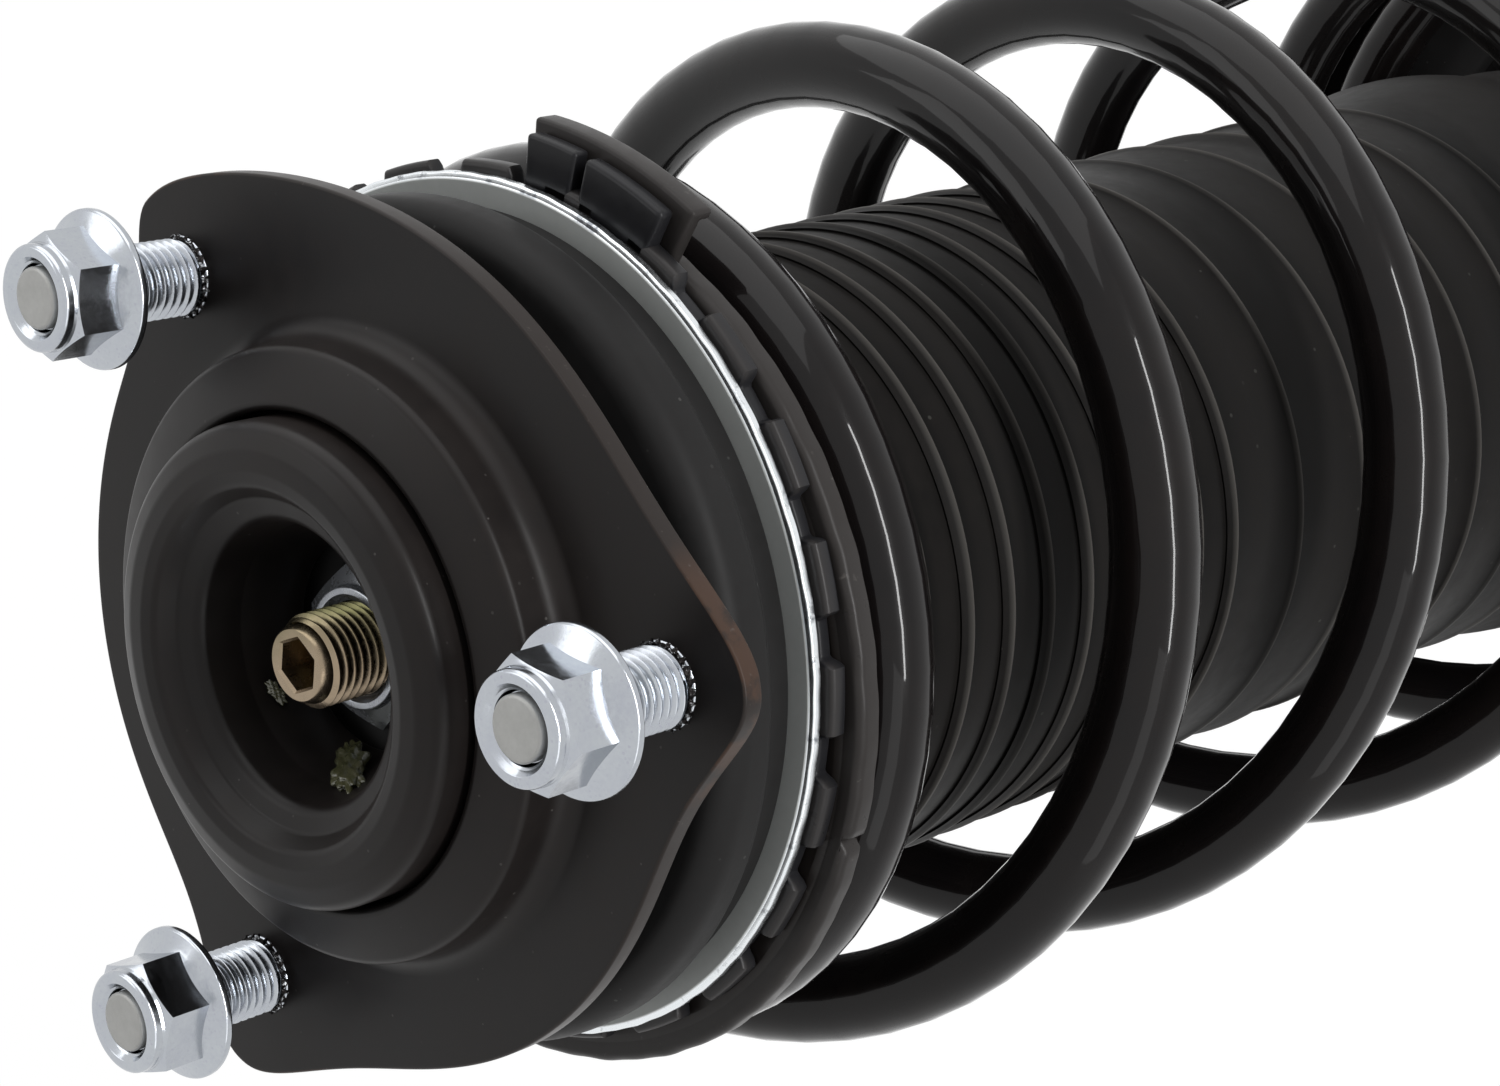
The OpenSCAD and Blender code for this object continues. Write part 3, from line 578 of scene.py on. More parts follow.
def make_mouldings(f):
    """Rubber and plastic: mount, pads, seal, boot, foam, cage and piston band."""
    c = Coat("block_rubber", f.rubber, roughness=0.48, Specular_IOR_Level=0.10)
    cloud = c.clouded(55.0, 9.0, shade(f.rubber, 1.7), 0.5)
    c.specked(520.0, 0.12, 0.10, (0.13, 0.13, 0.125), 0.35)
    c.vary("Roughness", cloud, 0.40, 0.56)
    c.relief((c.noise(900.0, detail=4.0), 0.12, 0.12))

    # dust seal: slightly glossy, paler along its crests
    c = Coat("seal_rubber", f.seal, roughness=0.34, Specular_IOR_Level=0.12,
             Coat_Weight=0.1, Coat_Roughness=0.3)
    cloud = c.clouded(120.0, 6.0, shade(f.seal, 1.8), 0.5)
    c.over(c.attribute("edge"), (0.040, 0.037, 0.036), 0.7)
    c.vary("Roughness", cloud, 0.26, 0.42)
    c.relief((c.noise(500.0, detail=4.0), 0.14, 0.2))

    # boot: matte, with a painted highlight on its ribs' crests and a painted shadow in the groove
    # below each
    c = Coat("boot_rubber", f.boot, roughness=0.46, Specular_IOR_Level=0.06)
    cloud = c.clouded(34.0, 11.0, (0.0150, 0.0132, 0.0118), 0.45)
    c.over(c.attribute("crest_highlight"), (0.085, 0.080, 0.074), 0.8)
    c.over(c.attribute("groove_shadow"), (0.003, 0.003, 0.003), 0.85)
    c.specked(380.0, 0.11, 0.12, (0.11, 0.11, 0.10), 0.3)
    c.vary("Roughness", cloud, 0.38, 0.54)
    c.relief((c.noise(110.0, detail=4.0, distortion=0.4), 0.10, 0.4),
             (c.noise(1600.0), 0.08, 0.06))

    # mouldings of the inner pieces, with fine pores
    for name, tint, rough, grain in (("foam", (0.46, 0.40, 0.27), 0.85, 700.0),
                                     ("cage_plastic", (0.62, 0.58, 0.47), 0.45, 1200.0),
                                     ("band_bronze", (0.20, 0.12, 0.07), 0.40, 1500.0)):
        c = Coat(name, tint, roughness=rough)
        c.clouded(90.0, 9.0, shade(tint, 0.75), 0.5)
        pores = c.specked(grain, 0.3, 0.5, shade(tint, 0.45), 0.3)
        c.relief((pores, -0.2, 0.15), (c.noise(grain, detail=4.0), 0.15, 0.15))


def make_steels(f):
    """Bare steel: the rod, its oiled end with its grease, and the inner pieces."""
    c = Coat("rod_chrome", (0.66, 0.67, 0.68), metallic=1.0, roughness=0.09)
    lines = c.noise(900.0, c.stretched((0.02, 0.02, 1.0)), detail=2.0)
    c.vary("Roughness", lines, 0.06, 0.15)
    c.relief((lines, 0.03, 0.03))

    # oiled brown thread, with the grease running over one side of it
    c = Coat("rod_end", f.bronze, metallic=1.0, roughness=0.24)
    cloud = c.clouded(230.0, 5.0, (0.22, 0.175, 0.125), 0.5)
    spot = add(c.tree, "ShaderNodeSeparateXYZ")
    c.tree.links.new(c.place, spot.inputs[0])
    side = maths(c.tree, "ADD", maths(c.tree, "MULTIPLY", spot.outputs["Y"], 120.0),
                 maths(c.tree, "MULTIPLY", spot.outputs["Z"], -55.0))
    oil = maths(c.tree, "ADD", side, c.noise(160.0, detail=4.0), clamp=True)
    c.over(oil, f.grease, 0.85)
    c.vary("Roughness", cloud, 0.14, 0.36)
    c.relief((c.noise(800.0, detail=4.0), 0.15, 0.12))

    c = Coat("grease", f.grease, roughness=0.16, Coat_Weight=0.6, Coat_Roughness=0.05)
    c.clouded(300.0, 4.0, (0.21, 0.20, 0.12), 0.6)
    c.relief((c.noise(520.0, detail=5.0, distortion=1.2), 0.6, 0.6))

    # turned, ground or sintered steel
    for name, tint, rough in (("ground_steel", (0.52, 0.53, 0.54), 0.24),
                              ("turned_steel", (0.30, 0.28, 0.25), 0.34),
                              ("sintered_steel", (0.20, 0.19, 0.185), 0.55)):
        c = Coat(name, tint, metallic=1.0, roughness=rough)
        rings = c.noise(700.0, c.stretched((0.05, 0.05, 1.0)), detail=3.0)
        c.clouded(150.0, 8.0, shade(tint, 0.7), 0.45)
        c.vary("Roughness", rings, rough - 0.06, rough + 0.12)
        c.relief((rings, 0.08, 0.06), (c.noise(1400.0), 0.05, 0.04))


class MakeFinishes(bpy.types.Operator):
    """Build the shader groups and every material"""
    bl_idname = "strut.finishes"
    bl_label = "Finishes"

    def execute(self, context):
        for build in (build_mottle, build_specks, build_worn):
            build()
        for make in (make_coats, make_zincs, make_mouldings, make_steels):
            make(finishes())
        return {"FINISHED"}


# ---------------------------------------------------------------- top mount

def hex_nut(bm, flats, flange, height, bore, crown):
    """Flange nut that stands on z = 0: flange, cone, chamfered hexagon and round crown."""
    crown_r, crown_h, mouth_r = crown
    flange_h = 1.15
    hex_top = height - crown_h
    corner = flats / 2 / math.cos(TAU / 12)
    chamfer = math.tan(math.radians(25))
    shoulder = crown_r + 0.25

    def cone(r):
        return flange_h + (flange - 0.55 - r) * math.tan(math.radians(27))

    path = [(bore, 0.4), (bore + 0.5, 0.0)]
    path += rounded([(bore + 2, 0.0), (flange, 0.0, 0.4), (flange, flange_h, 0.5),
                     (corner + 0.35, cone(corner + 0.35))], closed=False)[1:]
    low_ring = len(path)
    path += [(corner, 3.0), (corner - 0.1, 3.2)]
    path += [(corner, hex_top - 1.5), (corner, hex_top - 0.6)]
    high_ring = len(path)
    path += [(shoulder, hex_top)]
    path += rounded([(crown_r + 0.12, hex_top + 0.1), (crown_r, hex_top + 0.5, 0.4),
                     (crown_r, height, 1.1), (mouth_r, height, 0.25),
                     (mouth_r - 0.6, height - 0.7, 0.3), (bore, height - 0.9)],
                    closed=False, steps=7)
    path = [Vector(p) for p in path]
    low_z = {round(path[low_ring][1], 4), round(path[low_ring + 1][1], 4)}
    high_z = {round(path[high_ring - 1][1], 4), round(path[high_ring - 2][1], 4)}
    verts = lathe(bm, path, 144)

    def flatten(r, a, z):
        side = hexagon(a, flats)
        key = round(z, 4)
        if key in low_z and r > flats / 2:
            return side, cone(side) + (0.0 if r > corner - 0.05 else 0.3)
        if key in high_z and r > flats / 2:
            top = hex_top - max(0.0, side - shoulder) * chamfer
            return side, top - (0.4 if key < hex_top - 1.0 else 0.0)
        return r, z

    reshape(verts, flatten)
    return verts


class MakeFlangeNuts(bpy.types.Operator):
    """Model the three flange nuts with their chamfers and rolled collars"""
    bl_idname = "strut.flange_nuts"
    bl_label = "Flange nuts"

    def execute(self, context):
        bm = bmesh.new()
        s = sizes()
        verts = hex_nut(bm, s.nut_flats / MM, 10.1, s.nut_height / MM, 4.3, (6.72, 1.8, 5.2))
        on_studs(bm, verts, lift=s.nut_seat / MM, turns=(129.2, 28.2, 54.7))
        finish_piece(bm, "flange_nuts", "top_mount", ["stud_flange_nuts"],
                     "nut_zinc", sharp=24)
        return {"FINISHED"}


class MakeStuds(bpy.types.Operator):
    """Model the three threaded studs, their heads and the knurl at the plate"""
    bl_idname = "strut.studs"
    bl_label = "Studs"

    def execute(self, context):
        pitch = sizes().thread_pitch / MM
        top = sizes().stud_height / MM
        bm = bmesh.new()
        verts = screw_thread(bm, -0.4, sizes().nut_seat / MM + 2.6, 5.0, pitch)
        verts += lathe(bm, rounded([(0, -6.1), (7.2, -6.1, 0.6), (7.2, -2.9, 0.3), (5.3, -2.9),
                                    (5.3, 0.15, 0.3), (4.3, 0.4), (4.0, top - 1.6),
                                    (0, top - 1.6)], closed=False), 48, closed=False)
        on_studs(bm, verts)
        finish_piece(bm, "studs", "top_mount", ["mount_studs"],
                     "thread_zinc")

        bm = bmesh.new()
        verts = lathe(bm, rounded([(0, top - 2), (3.9, top - 2), (3.9, top, 0.45),
                                   (1.6, top - 0.12), (0, top - 0.16)], closed=False), 48,
                      closed=False)
        on_studs(bm, verts)
        finish_piece(bm, "stud_ends", "top_mount", [], "stud_end")

        bm = bmesh.new()
        verts = lathe(bm, rounded([(4.8, 0.0), (5.45, 0.0), (5.35, 0.5, 0.15), (5.0, 0.75),
                                   (4.8, 0.75)]), 144)

        def ragged(r, a, z):
            if r < 5.15:
                return r, z
            wave = 0.5 + 0.5 * math.sin(a * 24) + 0.35 * math.sin(a * 37 + 1.3)
            return r - 0.4 * min(1.0, wave), z * (0.55 + 0.45 * min(1.0, wave))

        reshape(verts, ragged)
        on_studs(bm, verts)
        finish_piece(bm, "stud_knurls", "top_mount", [], "knurl",
                     sharp=20)
        return {"FINISHED"}


# reach of each lobe in millimetres, and its width in degrees before and after the stud
LOBES = ((11.5, 25.8, 6.1), (12.8, 9.2, 12.8), (15.0, 8.8, 13.0))


def plate_edge(a):
    """Radius of the top plate's edge in direction a, in millimetres."""
    s = sizes()
    edge = s.plate_radius / MM
    for i, (reach, before, after) in enumerate(LOBES):
        d = (math.degrees(a - s.stud_angle + i * TAU / 3) + 540) % 360 - 180
        away = math.hypot(d, 4.0) - 4.0
        edge += reach * math.exp(-(away / (before if d < 0 else after)) ** 1.2)
    return edge


class MakeTopPlate(bpy.types.Operator):
    """Model the three-lobed pressed plate with its raised boss"""
    bl_idname = "strut.top_plate"
    bl_label = "Top plate"

    def execute(self, context):
        base, t = sizes().plate_radius / MM, sizes().plate_thickness / MM
        boss = 45.0  # the plate is round up to here and follows its lobes outside
        bm = bmesh.new()
        path = rounded([(31.0, 9.2, 0.9), (38.6, 6.9, 1.4), (39.0, 0.0, 5.4), (45.0, 0.0),
                        (48.0, 0.0), (base - 0.9, 0.0), (base, 0.0, 0.4), (base, -t, 0.3),
                        (base - 0.9, -t), (48.0, -t), (45.0, -t), (36.4, -t, 6.0),
                        (36.0, 4.2, 1.2), (31.0, 6.4, 0.6)], steps=8)
        verts = lathe(bm, path, 480)

        def lobed(r, a, z):
            if r <= boss:
                return r, z
            if r > base - 1:
                return plate_edge(a) - (base - r), z
            return r + (plate_edge(a) - base) * (r - boss) / (base - boss), z

        reshape(verts, lobed)

        def rim(v):
            r = out_from_axis(v)
            return 1.0 if plate_edge(math.atan2(v.co.y, v.co.x)) - r < 0.35 else 0.0

        def handled(v):
            a = math.atan2(v.co.y, v.co.x)
            tips = (math.cos(a - sizes().stud_angle + i * TAU / 3) for i in range(3))
            return rim(v) * ease((max(tips) - 0.955) / 0.03)

        mark(bm, "edge", rim)
        mark(bm, "handled", handled)
        lean(bm)
        finish_piece(bm, "top_plate", "top_mount", ["mount_top_plate"],
                     "plate_coat", sharp=50)
        return {"FINISHED"}


class MakeInnerCup(bpy.types.Operator):
    """Model the inner cup: rounded dome, lip and funnel"""
    bl_idname = "strut.inner_cup"
    bl_label = "Inner cup"

    def execute(self, context):
        top = sizes().cup_height / MM
        bm = bmesh.new()
        path = rounded([(30.3, -2.8, 0.3), (30.3, 13.0, 2.0), (27.0, 14.15, 3.0),
                        (24.6, top, 2.0), (22.6, top - 0.4, 1.6), (20.9, 11.4, 1.2),
                        (18.0, 10.3, 2.2), (16.6, 4.8, 4.0), (13.6, -3.2, 0.4),
                        (15.8, -3.2, 0.3), (17.6, 3.4, 3.0), (19.6, 8.0, 1.5),
                        (22.2, 9.6, 1.5), (23.6, top - 2.2, 1.0), (28.1, top - 2.6, 1.5),
                        (28.1, -2.8, 0.3)], steps=10)
        lathe(bm, path, 192)
        lean(bm)
        finish_piece(bm, "inner_cup", "top_mount", ["mount_inner_cup"],
                     "cup_coat", sharp=50)
        return {"FINISHED"}


class MakeRubberBlock(bpy.types.Operator):
    """Model the mount's rubber with its two rounded steps"""
    bl_idname = "strut.rubber_block"
    bl_label = "Rubber block"

    def execute(self, context):
        outer = sizes().rubber_radius / MM
        bm = bmesh.new()
        path = rounded([(12.5, -21.2), (12.5, -7.2, 0.8), (16.0, -5.6, 0.8), (20, -2.95),
                        (45.3, -2.95, 0.4), (45.6, -8.8, 1.6), (outer, -9.0, 4.0),
                        (outer, -17.0, 3.6), (51.2, -17.0, 0.8), (52.6, -17.9, 0.8),
                        (52.6, -21.2)], steps=8)
        verts = lathe(bm, path, 192)
        for v in verts:
            share = ease((v.co.z + 12.0) / 6.0)
            v.co = v.co.lerp(LEAN @ v.co, share)
        finish_piece(bm, "rubber_block", "top_mount", ["mount_rubber"],
                     "block_rubber", sharp=50)
        return {"FINISHED"}


class MakeLowerPlate(bpy.types.Operator):
    """Model the plated lower plate with its bright rolled rim"""
    bl_idname = "strut.lower_plate"
    bl_label = "Lower plate"

    def execute(self, context):
        outer = sizes().rim_radius / MM
        bm = bmesh.new()
        path = rounded([(23.5, -21.3), (outer - 1.3, -21.3), (outer - 1.0, -21.3, 0.1),
                        (outer - 0.7, -21.45, 0.2), (outer, -21.5, 0.3), (outer, -22.8, 0.3),
                        (outer - 0.8, -22.8), (23.5, -22.8)], steps=5)
        verts = lathe(bm, path, 360)

        def worn(r, a, z):
            if r < outer - 0.5:
                return r, z
            return r - 0.07 * (math.sin(a * 61) * math.sin(a * 17 + 1)), z

        reshape(verts, worn)
        mark(bm, "edge",
             lambda v: 1.0 if out_from_axis(v) > outer - 0.9 else 0.0)
        finish_piece(bm, "lower_plate", "top_mount", ["mount_lower_plate"],
                     "annulus_zinc", sharp=40)
        return {"FINISHED"}


class MakeRodEnd(bpy.types.Operator):
    """Model the rod: chromed shaft, threaded end and hexagon socket"""
    bl_idname = "strut.rod"
    bl_label = "Piston rod"

    def execute(self, context):
        low, high = low_high("piston_rod")
        pitch = sizes().thread_pitch / MM
        rod = sizes().rod / MM / 2
        top, flats = high.z, 6.0
        bm = bmesh.new()
        screw_thread(bm, -20.4, top - 0.9, 5.95, pitch, steps=48)
        verts = lathe(bm, [(5.2, -20.4), (5.2, top - 1.4), (4.7, top - 0.2), (4.5, top),
                           (3.75, top), (3.35, top - 0.35), (3.3, top - 6.0),
                           (0.0, top - 7.0)], 96, closed=False)

        def socket(r, a, z):
            if r > 3.9:
                return r, z
            if r > 3.6:
                return hexagon(a, flats) + 0.35, z
            if r > 1:
                return hexagon(a, flats), z
            return r, z

        reshape(verts, socket)
        finish_piece(bm, "rod_end", "top_mount", [], "rod_end",
                     sharp=30)

        bm = bmesh.new()
        foot = low_high("piston")[1].z
        lathe(bm, rounded([(0, low.z), (8.0, low.z, 0.8), (8.0, foot), (rod, foot, 0.3),
                           (rod, -20.6, 0.8), (0, -20.6)], closed=False), 128, closed=False)
        finish_piece(bm, "rod_shaft", "top_mount", ["piston_rod"],
                     "rod_chrome")

        bm = bmesh.new()
        low, high = low_high("rod_lock_nut")
        verts = hex_nut(bm, 19.0, 12.1, high.z - low.z, 6.0, (7.9, 1.2, 6.9))
        bmesh.ops.transform(bm, matrix=Matrix.Translation((0, 0, low.z)) @
                            Matrix.Rotation(0.35, 4, "Z"), verts=verts)
        finish_piece(bm, "rod_nut", "top_mount", ["rod_lock_nut"],
                     "rod_nut_zinc", sharp=28)
        return {"FINISHED"}


class MakeGrease(bpy.types.Operator):
    """Model the crumpled grease on the funnel's wall below the rod nut"""
    bl_idname = "strut.grease"
    bl_label = "Grease"

    def execute(self, context):
        bm = bmesh.new()
        # each flake: centre, long direction, the wall's normal, half sizes
        for spot, along, wall, half in (
                ((-4.6, -14.1, 2.6), (8.3, -6.7, 9.0), (0.28, 0.87, 0.41), (6.2, 2.3, 0.8)),
                ((-14.7, -2.5, 2.6), (0.1, 1.0, 0.4), (0.93, 0.16, 0.34), (1.7, 0.8, 0.4))):
            wall = Vector(wall).normalized()
            across = wall.cross(Vector(along)).normalized()
            turn = Matrix((across.cross(wall), across, wall)).transposed().to_4x4()
            made = bmesh.ops.create_icosphere(bm, subdivisions=5, radius=1.0)["verts"]
            for v in made:
                n = v.co.normalized()
                fold = math.sin(7 * n.x + 3 * n.y) * math.cos(5 * n.y + spot[0])
                v.co = n * (1 + 0.20 * fold + 0.09 * math.sin(15 * n.x - 9 * n.y))
            bmesh.ops.scale(bm, vec=half, verts=made)
            bmesh.ops.transform(bm, matrix=Matrix.Translation(spot) @ turn, verts=made)
        finish_piece(bm, "grease", "top_mount", [], "grease",
                     sharp=80)
        return {"FINISHED"}


# ---------------------------------------------------------------- seat, seal, spring, boot

def tooth_rise(a, count, share):
    """1 on a tooth and 0 in a gap, with quick rounded flanks."""
    step = TAU / count
    d = abs((a % step) / step - 0.5) * 2
    return ease((share - d) / 0.12 + 0.5)


class MakeDustSeal(bpy.types.Operator):
    """Model the castellated dust seal with its tall stop tab"""
    bl_idname = "strut.dust_seal"
    bl_label = "Dust seal"

    def execute(self, context):
        low, high = low_high("bearing_dust_seal")
        foot, top = low.z, high.z
        bm = bmesh.new()
        verts = lathe(bm, rounded([(50, top), (57.8, top, 0.8), (57.8, foot, 0.5),
                                   (50, foot)], steps=5), 960)

        def castle(r, a, z):
            if r < 54:
                return r, z
            rise = tooth_rise(a, 24, 0.62)
            return r - 2.2 * (1 - rise), z - 0.3 * (1 - rise) * (z - foot) / (top - foot)

        reshape(verts, castle)
        mark(bm, "edge",
             lambda v: ease((out_from_axis(v) - 56.6) * 2)
             * ease((v.co.z - foot - 1.4) * 2))

        # two raised stop teeth
        for start, end in ((38.5, 51.2), (52.6, 60.5)):
            spun_block(bm, ((55.5, top), (62.6, top), (62.6, foot), (55.5, foot)), start, end,
                       steps=14, bevel=0.7)
        finish_piece(bm, "dust_seal", "spring_top", ["bearing_dust_seal"],
                     "seal_rubber", sharp=40)
        return {"FINISHED"}


class MakeUpperSeat(bpy.types.Operator):
    """Model the upper spring seat: flange, rolled rim, neck and bearing floor"""
    bl_idname = "strut.upper_seat"
    bl_label = "Upper spring seat"

    def execute(self, context):
        bm = bmesh.new()
        path = rounded([(28.5, -33.7, 0.4), (28.5, -31.7, 0.4), (38.2, -31.7, 0.8),
                        (38.2, -26.0, 0.8), (54.5, -26.0, 0.8), (55.6, -26.2, 0.8),
                        (58.4, -26.2, 1.3), (58.4, -29.7, 0.5), (56.8, -29.7, 0.5),
                        (56.8, -28.3, 0.8), (40.5, -28.3, 1.5), (40.5, -48.4, 0.5),
                        (38.3, -48.4, 0.5), (38.3, -33.7, 0.5)], steps=6)
        verts = lathe(bm, path, 360, centre=(0, SEAT_Y))
        notch = math.radians(-38)

        def ragged(r, a, z):
            if r < 57.6:
                return r, z
            cut = 1.5 * math.exp(-((a - notch) * 58 / 0.7) ** 2)
            return r - cut - 0.10 * math.sin(a * 47) * math.sin(a * 13 + 2), z

        reshape(verts, ragged, centre=(0, SEAT_Y))

        # lug behind the seal's stop teeth
        spun_block(bm, ((53, -26.1), (64, -26.1), (64, -29.7), (62.4, -29.7), (62.4, -28.2),
                        (53, -28.2)), 36.5, 62, steps=20, bevel=0.6)

        def rim(v):
            seat_r = out_from_axis(v, SEAT_Y)
            return 1.0 if (seat_r > 55.4 or out_from_axis(v) > 59) else 0.0

        mark(bm, "edge", rim)
        finish_piece(bm, "upper_seat", "spring_top", ["upper_spring_seat"],
                     "seat_coat", sharp=45)

        bm = bmesh.new()
        low, high = low_high("upper_spring_insulator")
        lathe(bm, rounded([(44.8, high.z), (56.6, high.z), (56.6, low.z, 0.5),
                           (44.8, low.z, 0.5)]), 144, centre=(0, SEAT_Y))
        finish_piece(bm, "upper_insulator", "spring_top",
                     ["upper_spring_insulator"], "block_rubber")
        return {"FINISHED"}


# the coil's turns run from its upper tip at COIL_FROM to its lower one at COIL_TO
COIL_FROM, COIL_TO = -1.6, 4.6
COIL_LAST = 3.2     # from here on the coil grows no wider
TIP_RADIUS, FIRST_RADIUS, GROWTH = 52.3, 64.1, 2.45
FLAT_PITCH, FIRST_PITCH, LAST_PITCH = 4, 54, 73


def coil_pitch(u):
    full = FIRST_PITCH + (LAST_PITCH - FIRST_PITCH) * ease(u / 1.8)
    rise = ease((u + 1.15) / 0.75) * ease((4.2 - u) / 0.85)
    return FLAT_PITCH + (full - FLAT_PITCH) * rise


def coil_point(u, z):
    wider = ease((u + 0.95) / 0.6)
    r = TIP_RADIUS + (FIRST_RADIUS - TIP_RADIUS) * wider + GROWTH * max(0.0, min(u, COIL_LAST))
    y = SEAT_Y + 1.2 * max(0.0, min(u, COIL_LAST) - COIL_FROM)
    return Vector((r * math.cos(TAU * u), y + r * math.sin(TAU * u), z))


def coil_line(per_turn):
    """Centre line of the spring wire, from its upper tip to its lower one."""
    count = round((COIL_TO - COIL_FROM) * per_turn)
    z = SPRING_HIGH - sizes().wire / MM / 2 * 0.985
    points = [coil_point(COIL_FROM, z)]
    for i in range(1, count + 1):
        z -= coil_pitch(COIL_FROM + (i - 0.5) / per_turn) / per_turn
        points.append(coil_point(COIL_FROM + i / per_turn, z))
    return points


class MakeSpring(bpy.types.Operator):
    """Model the coil spring as one round wire swept along its centre line"""
    bl_idname = "strut.spring"
    bl_label = "Coil spring"

    def execute(self, context):
        wire = sizes().wire / MM / 2
        line = coil_line(64)
        bm = bmesh.new()
        ring = bmesh.ops.create_circle(bm, segments=28, radius=wire, cap_ends=False)["verts"]
        ring_edges = list(bm.edges)
        start = Matrix()
        for i, point in enumerate(line):
            along = (line[min(i + 1, len(line) - 1)] - line[max(i - 1, 0)]).normalized()
            side = along.cross(Vector(AXIS)).normalized()
            turn = Matrix((side, side.cross(along) * -1, along)).transposed().to_4x4()
            turn.translation = point
            if i > 0:
                made = bmesh.ops.extrude_edge_only(bm, edges=ring_edges)["geom"]
                ring = [g for g in made if isinstance(g, bmesh.types.BMVert)]
                ring_edges = [g for g in made if isinstance(g, bmesh.types.BMEdge)]
            bmesh.ops.transform(bm, matrix=turn @ start.inverted(), verts=ring)
            start = turn
        ends = [e for e in bm.edges if e.is_boundary]
        caps = bmesh.ops.holes_fill(bm, edges=ends, sides=0)["faces"]
        bmesh.ops.recalc_face_normals(bm, faces=bm.faces)
        rims = {e for f in caps for e in f.edges}
        bmesh.ops.bevel(bm, geom=list(rims), offset=0.8, segments=3, profile=0.5, material=-1,
                        affect="EDGES", clamp_overlap=True)
        spring = finish_piece(bm, "spring", "spring_top", ["coil_spring"],
                              "spring_coat", sharp=60)
        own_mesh(spring)
        return {"FINISHED"}


def boot_radius(z):
    """Outer radius of the boot's smooth wall at height z, in millimetres."""
    grown = sizes().boot_radius / MM + 2.0 * (BOOT_HIGH - z) / 100
    return grown + 2.6 * math.exp(-((z + 252.4) / 14) ** 2)


# heights of the ribs: eight close ones, then seven further apart
RIBS = [-56.4 - 8.4 * i for i in range(8)] + [-123.6 - 16.4 * i for i in range(7)]
# section of one rib: share of its height over the wall, and level above its crest
RIB = ((0.10, 1.9), (0.45, 1.0), (0.85, 0.42), (1.0, 0.0), (0.55, -0.3))


def over_rib(v):
    """How far a vertex of the boot lies above the nearest rib's crest."""
    return min((v.co.z - z for z in RIBS), key=abs)


class MakeBoot(bpy.types.Operator):
    """Model the dust boot with its fine shingled ribs"""
    bl_idname = "strut.boot"
    bl_label = "Dust boot"

    def execute(self, context):
        rise = sizes().rib_height / MM
        bm = bmesh.new()
        top = boot_radius(BOOT_HIGH)
        outer = [(top - 1.2, BOOT_HIGH), (top, BOOT_HIGH - 0.6)]
        last = BOOT_HIGH - 0.6
        for z in RIBS:
            gap = last - z
            for share in (0.25, 0.5, 0.75):
                level = last - gap * share
                outer.append((boot_radius(level) - 0.3 * math.sin(math.pi * share), level))
            wall = boot_radius(z)
            outer += [(wall + rise * share, z + level) for share, level in RIB]
            outer += [(wall - 0.2, z - 0.6), (wall - 0.3, z - 1.2)]
            last = z - 1.2
        outer += [(boot_radius(z), z) for z in range(-229, -287, -2)]
        outer += rounded([(boot_radius(-287), -287), (45.6, BOOT_LOW + 4, 1.5),
                          (44.2, BOOT_LOW, 0.8), (41.0, BOOT_LOW, 0.8), (42.4, BOOT_LOW + 5)],
                         closed=False)[1:]
        outer += [(boot_radius(z) - 2, z) for z in range(-286, -226, 6)]
        outer += [(boot_radius(-202) - 2, -202), (boot_radius(BOOT_HIGH) - 2, BOOT_HIGH)]
        lathe(bm, [Vector(p) for p in outer], 160, centre=(0, SEAT_Y - 0.5))

        # painted highlight on each rib's crest and just above it, and painted shadow in the band
        # just below it
        def crest(v):
            near = over_rib(v)
            return 1.0 if abs(near) < 0.05 else 0.55 if 0 < near < 0.5 else 0.0

        mark(bm, "crest_highlight", crest)
        mark(bm, "groove_shadow", lambda v: 1.0 if -1.25 < over_rib(v) < -0.4 else 0.0)
        boot = finish_piece(bm, "boot", "spring_top", ["dust_boot"],
                            "boot_rubber", sharp=70)
        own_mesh(boot)
        return {"FINISHED"}


class MakeBumpStop(bpy.types.Operator):
    """Model the foam bump stop with its rounded waists"""
    bl_idname = "strut.bump_stop"
    bl_label = "Bump stop"

    def execute(self, context):
        low, high = low_high("bump_stop")
        bm = bmesh.new()
        span = (high.z - low.z) / 3
        path = [(11.3, high.z, 0.3), (20.8, high.z, 0.8)]
        for i in range(3):
            z, r = high.z - i * span, 21.8 - i * 1.6
            path += [(r, z - 4, 2.5), (r, z - span + 8, 2.5), (r - 4.4, z - span + 4, 1.5)]
        path += [(15.0, low.z, 1.5), (11.3, low.z, 0.5)]
        lathe(bm, rounded(path, steps=5), 96)
        finish_piece(bm, "bump_stop_foam", "top_mount", ["bump_stop"],
                     "foam", sharp=60)
        return {"FINISHED"}


# ---------------------------------------------------------------- damper body

class MakeTube(bpy.types.Operator):
    """Model the strut tube with its rolled cap and bottom"""
    bl_idname = "strut.tube"
    bl_label = "Strut tube"

    def execute(self, context):
        low, high = low_high("strut_tube")
        r = sizes().tube / MM / 2
        cap = low_high("tube_cap")[1].z
        bm = bmesh.new()
        lathe(bm, rounded([(r, low.z, 1.2), (r, high.z, 0.6), (r - 2.5, high.z),
                           (r - 2.5, low.z + 0.6)], steps=4), 128)
        lathe(bm, rounded([(0, low.z + 0.6), (r - 2.5, low.z + 0.6, 0.4),
                           (r - 2.5, low.z + 6), (0, low.z + 6)], closed=False), 96,
              closed=False)
        finish_piece(bm, "tube", "strut_body", ["strut_tube", "bottom_cap"],
                     "tube_coat")
        bm = bmesh.new()
        lathe(bm, rounded([(12.5, high.z + 0.1, 0.3), (12.5, cap, 0.6), (23, cap, 1.5),
                           (r + 1, cap - 1.6, 1.0), (r + 1, high.z + 0.1, 0.5)]), 96)
        finish_piece(bm, "tube_top", "strut_body", ["tube_cap"],
                     "tube_coat")
        return {"FINISHED"}


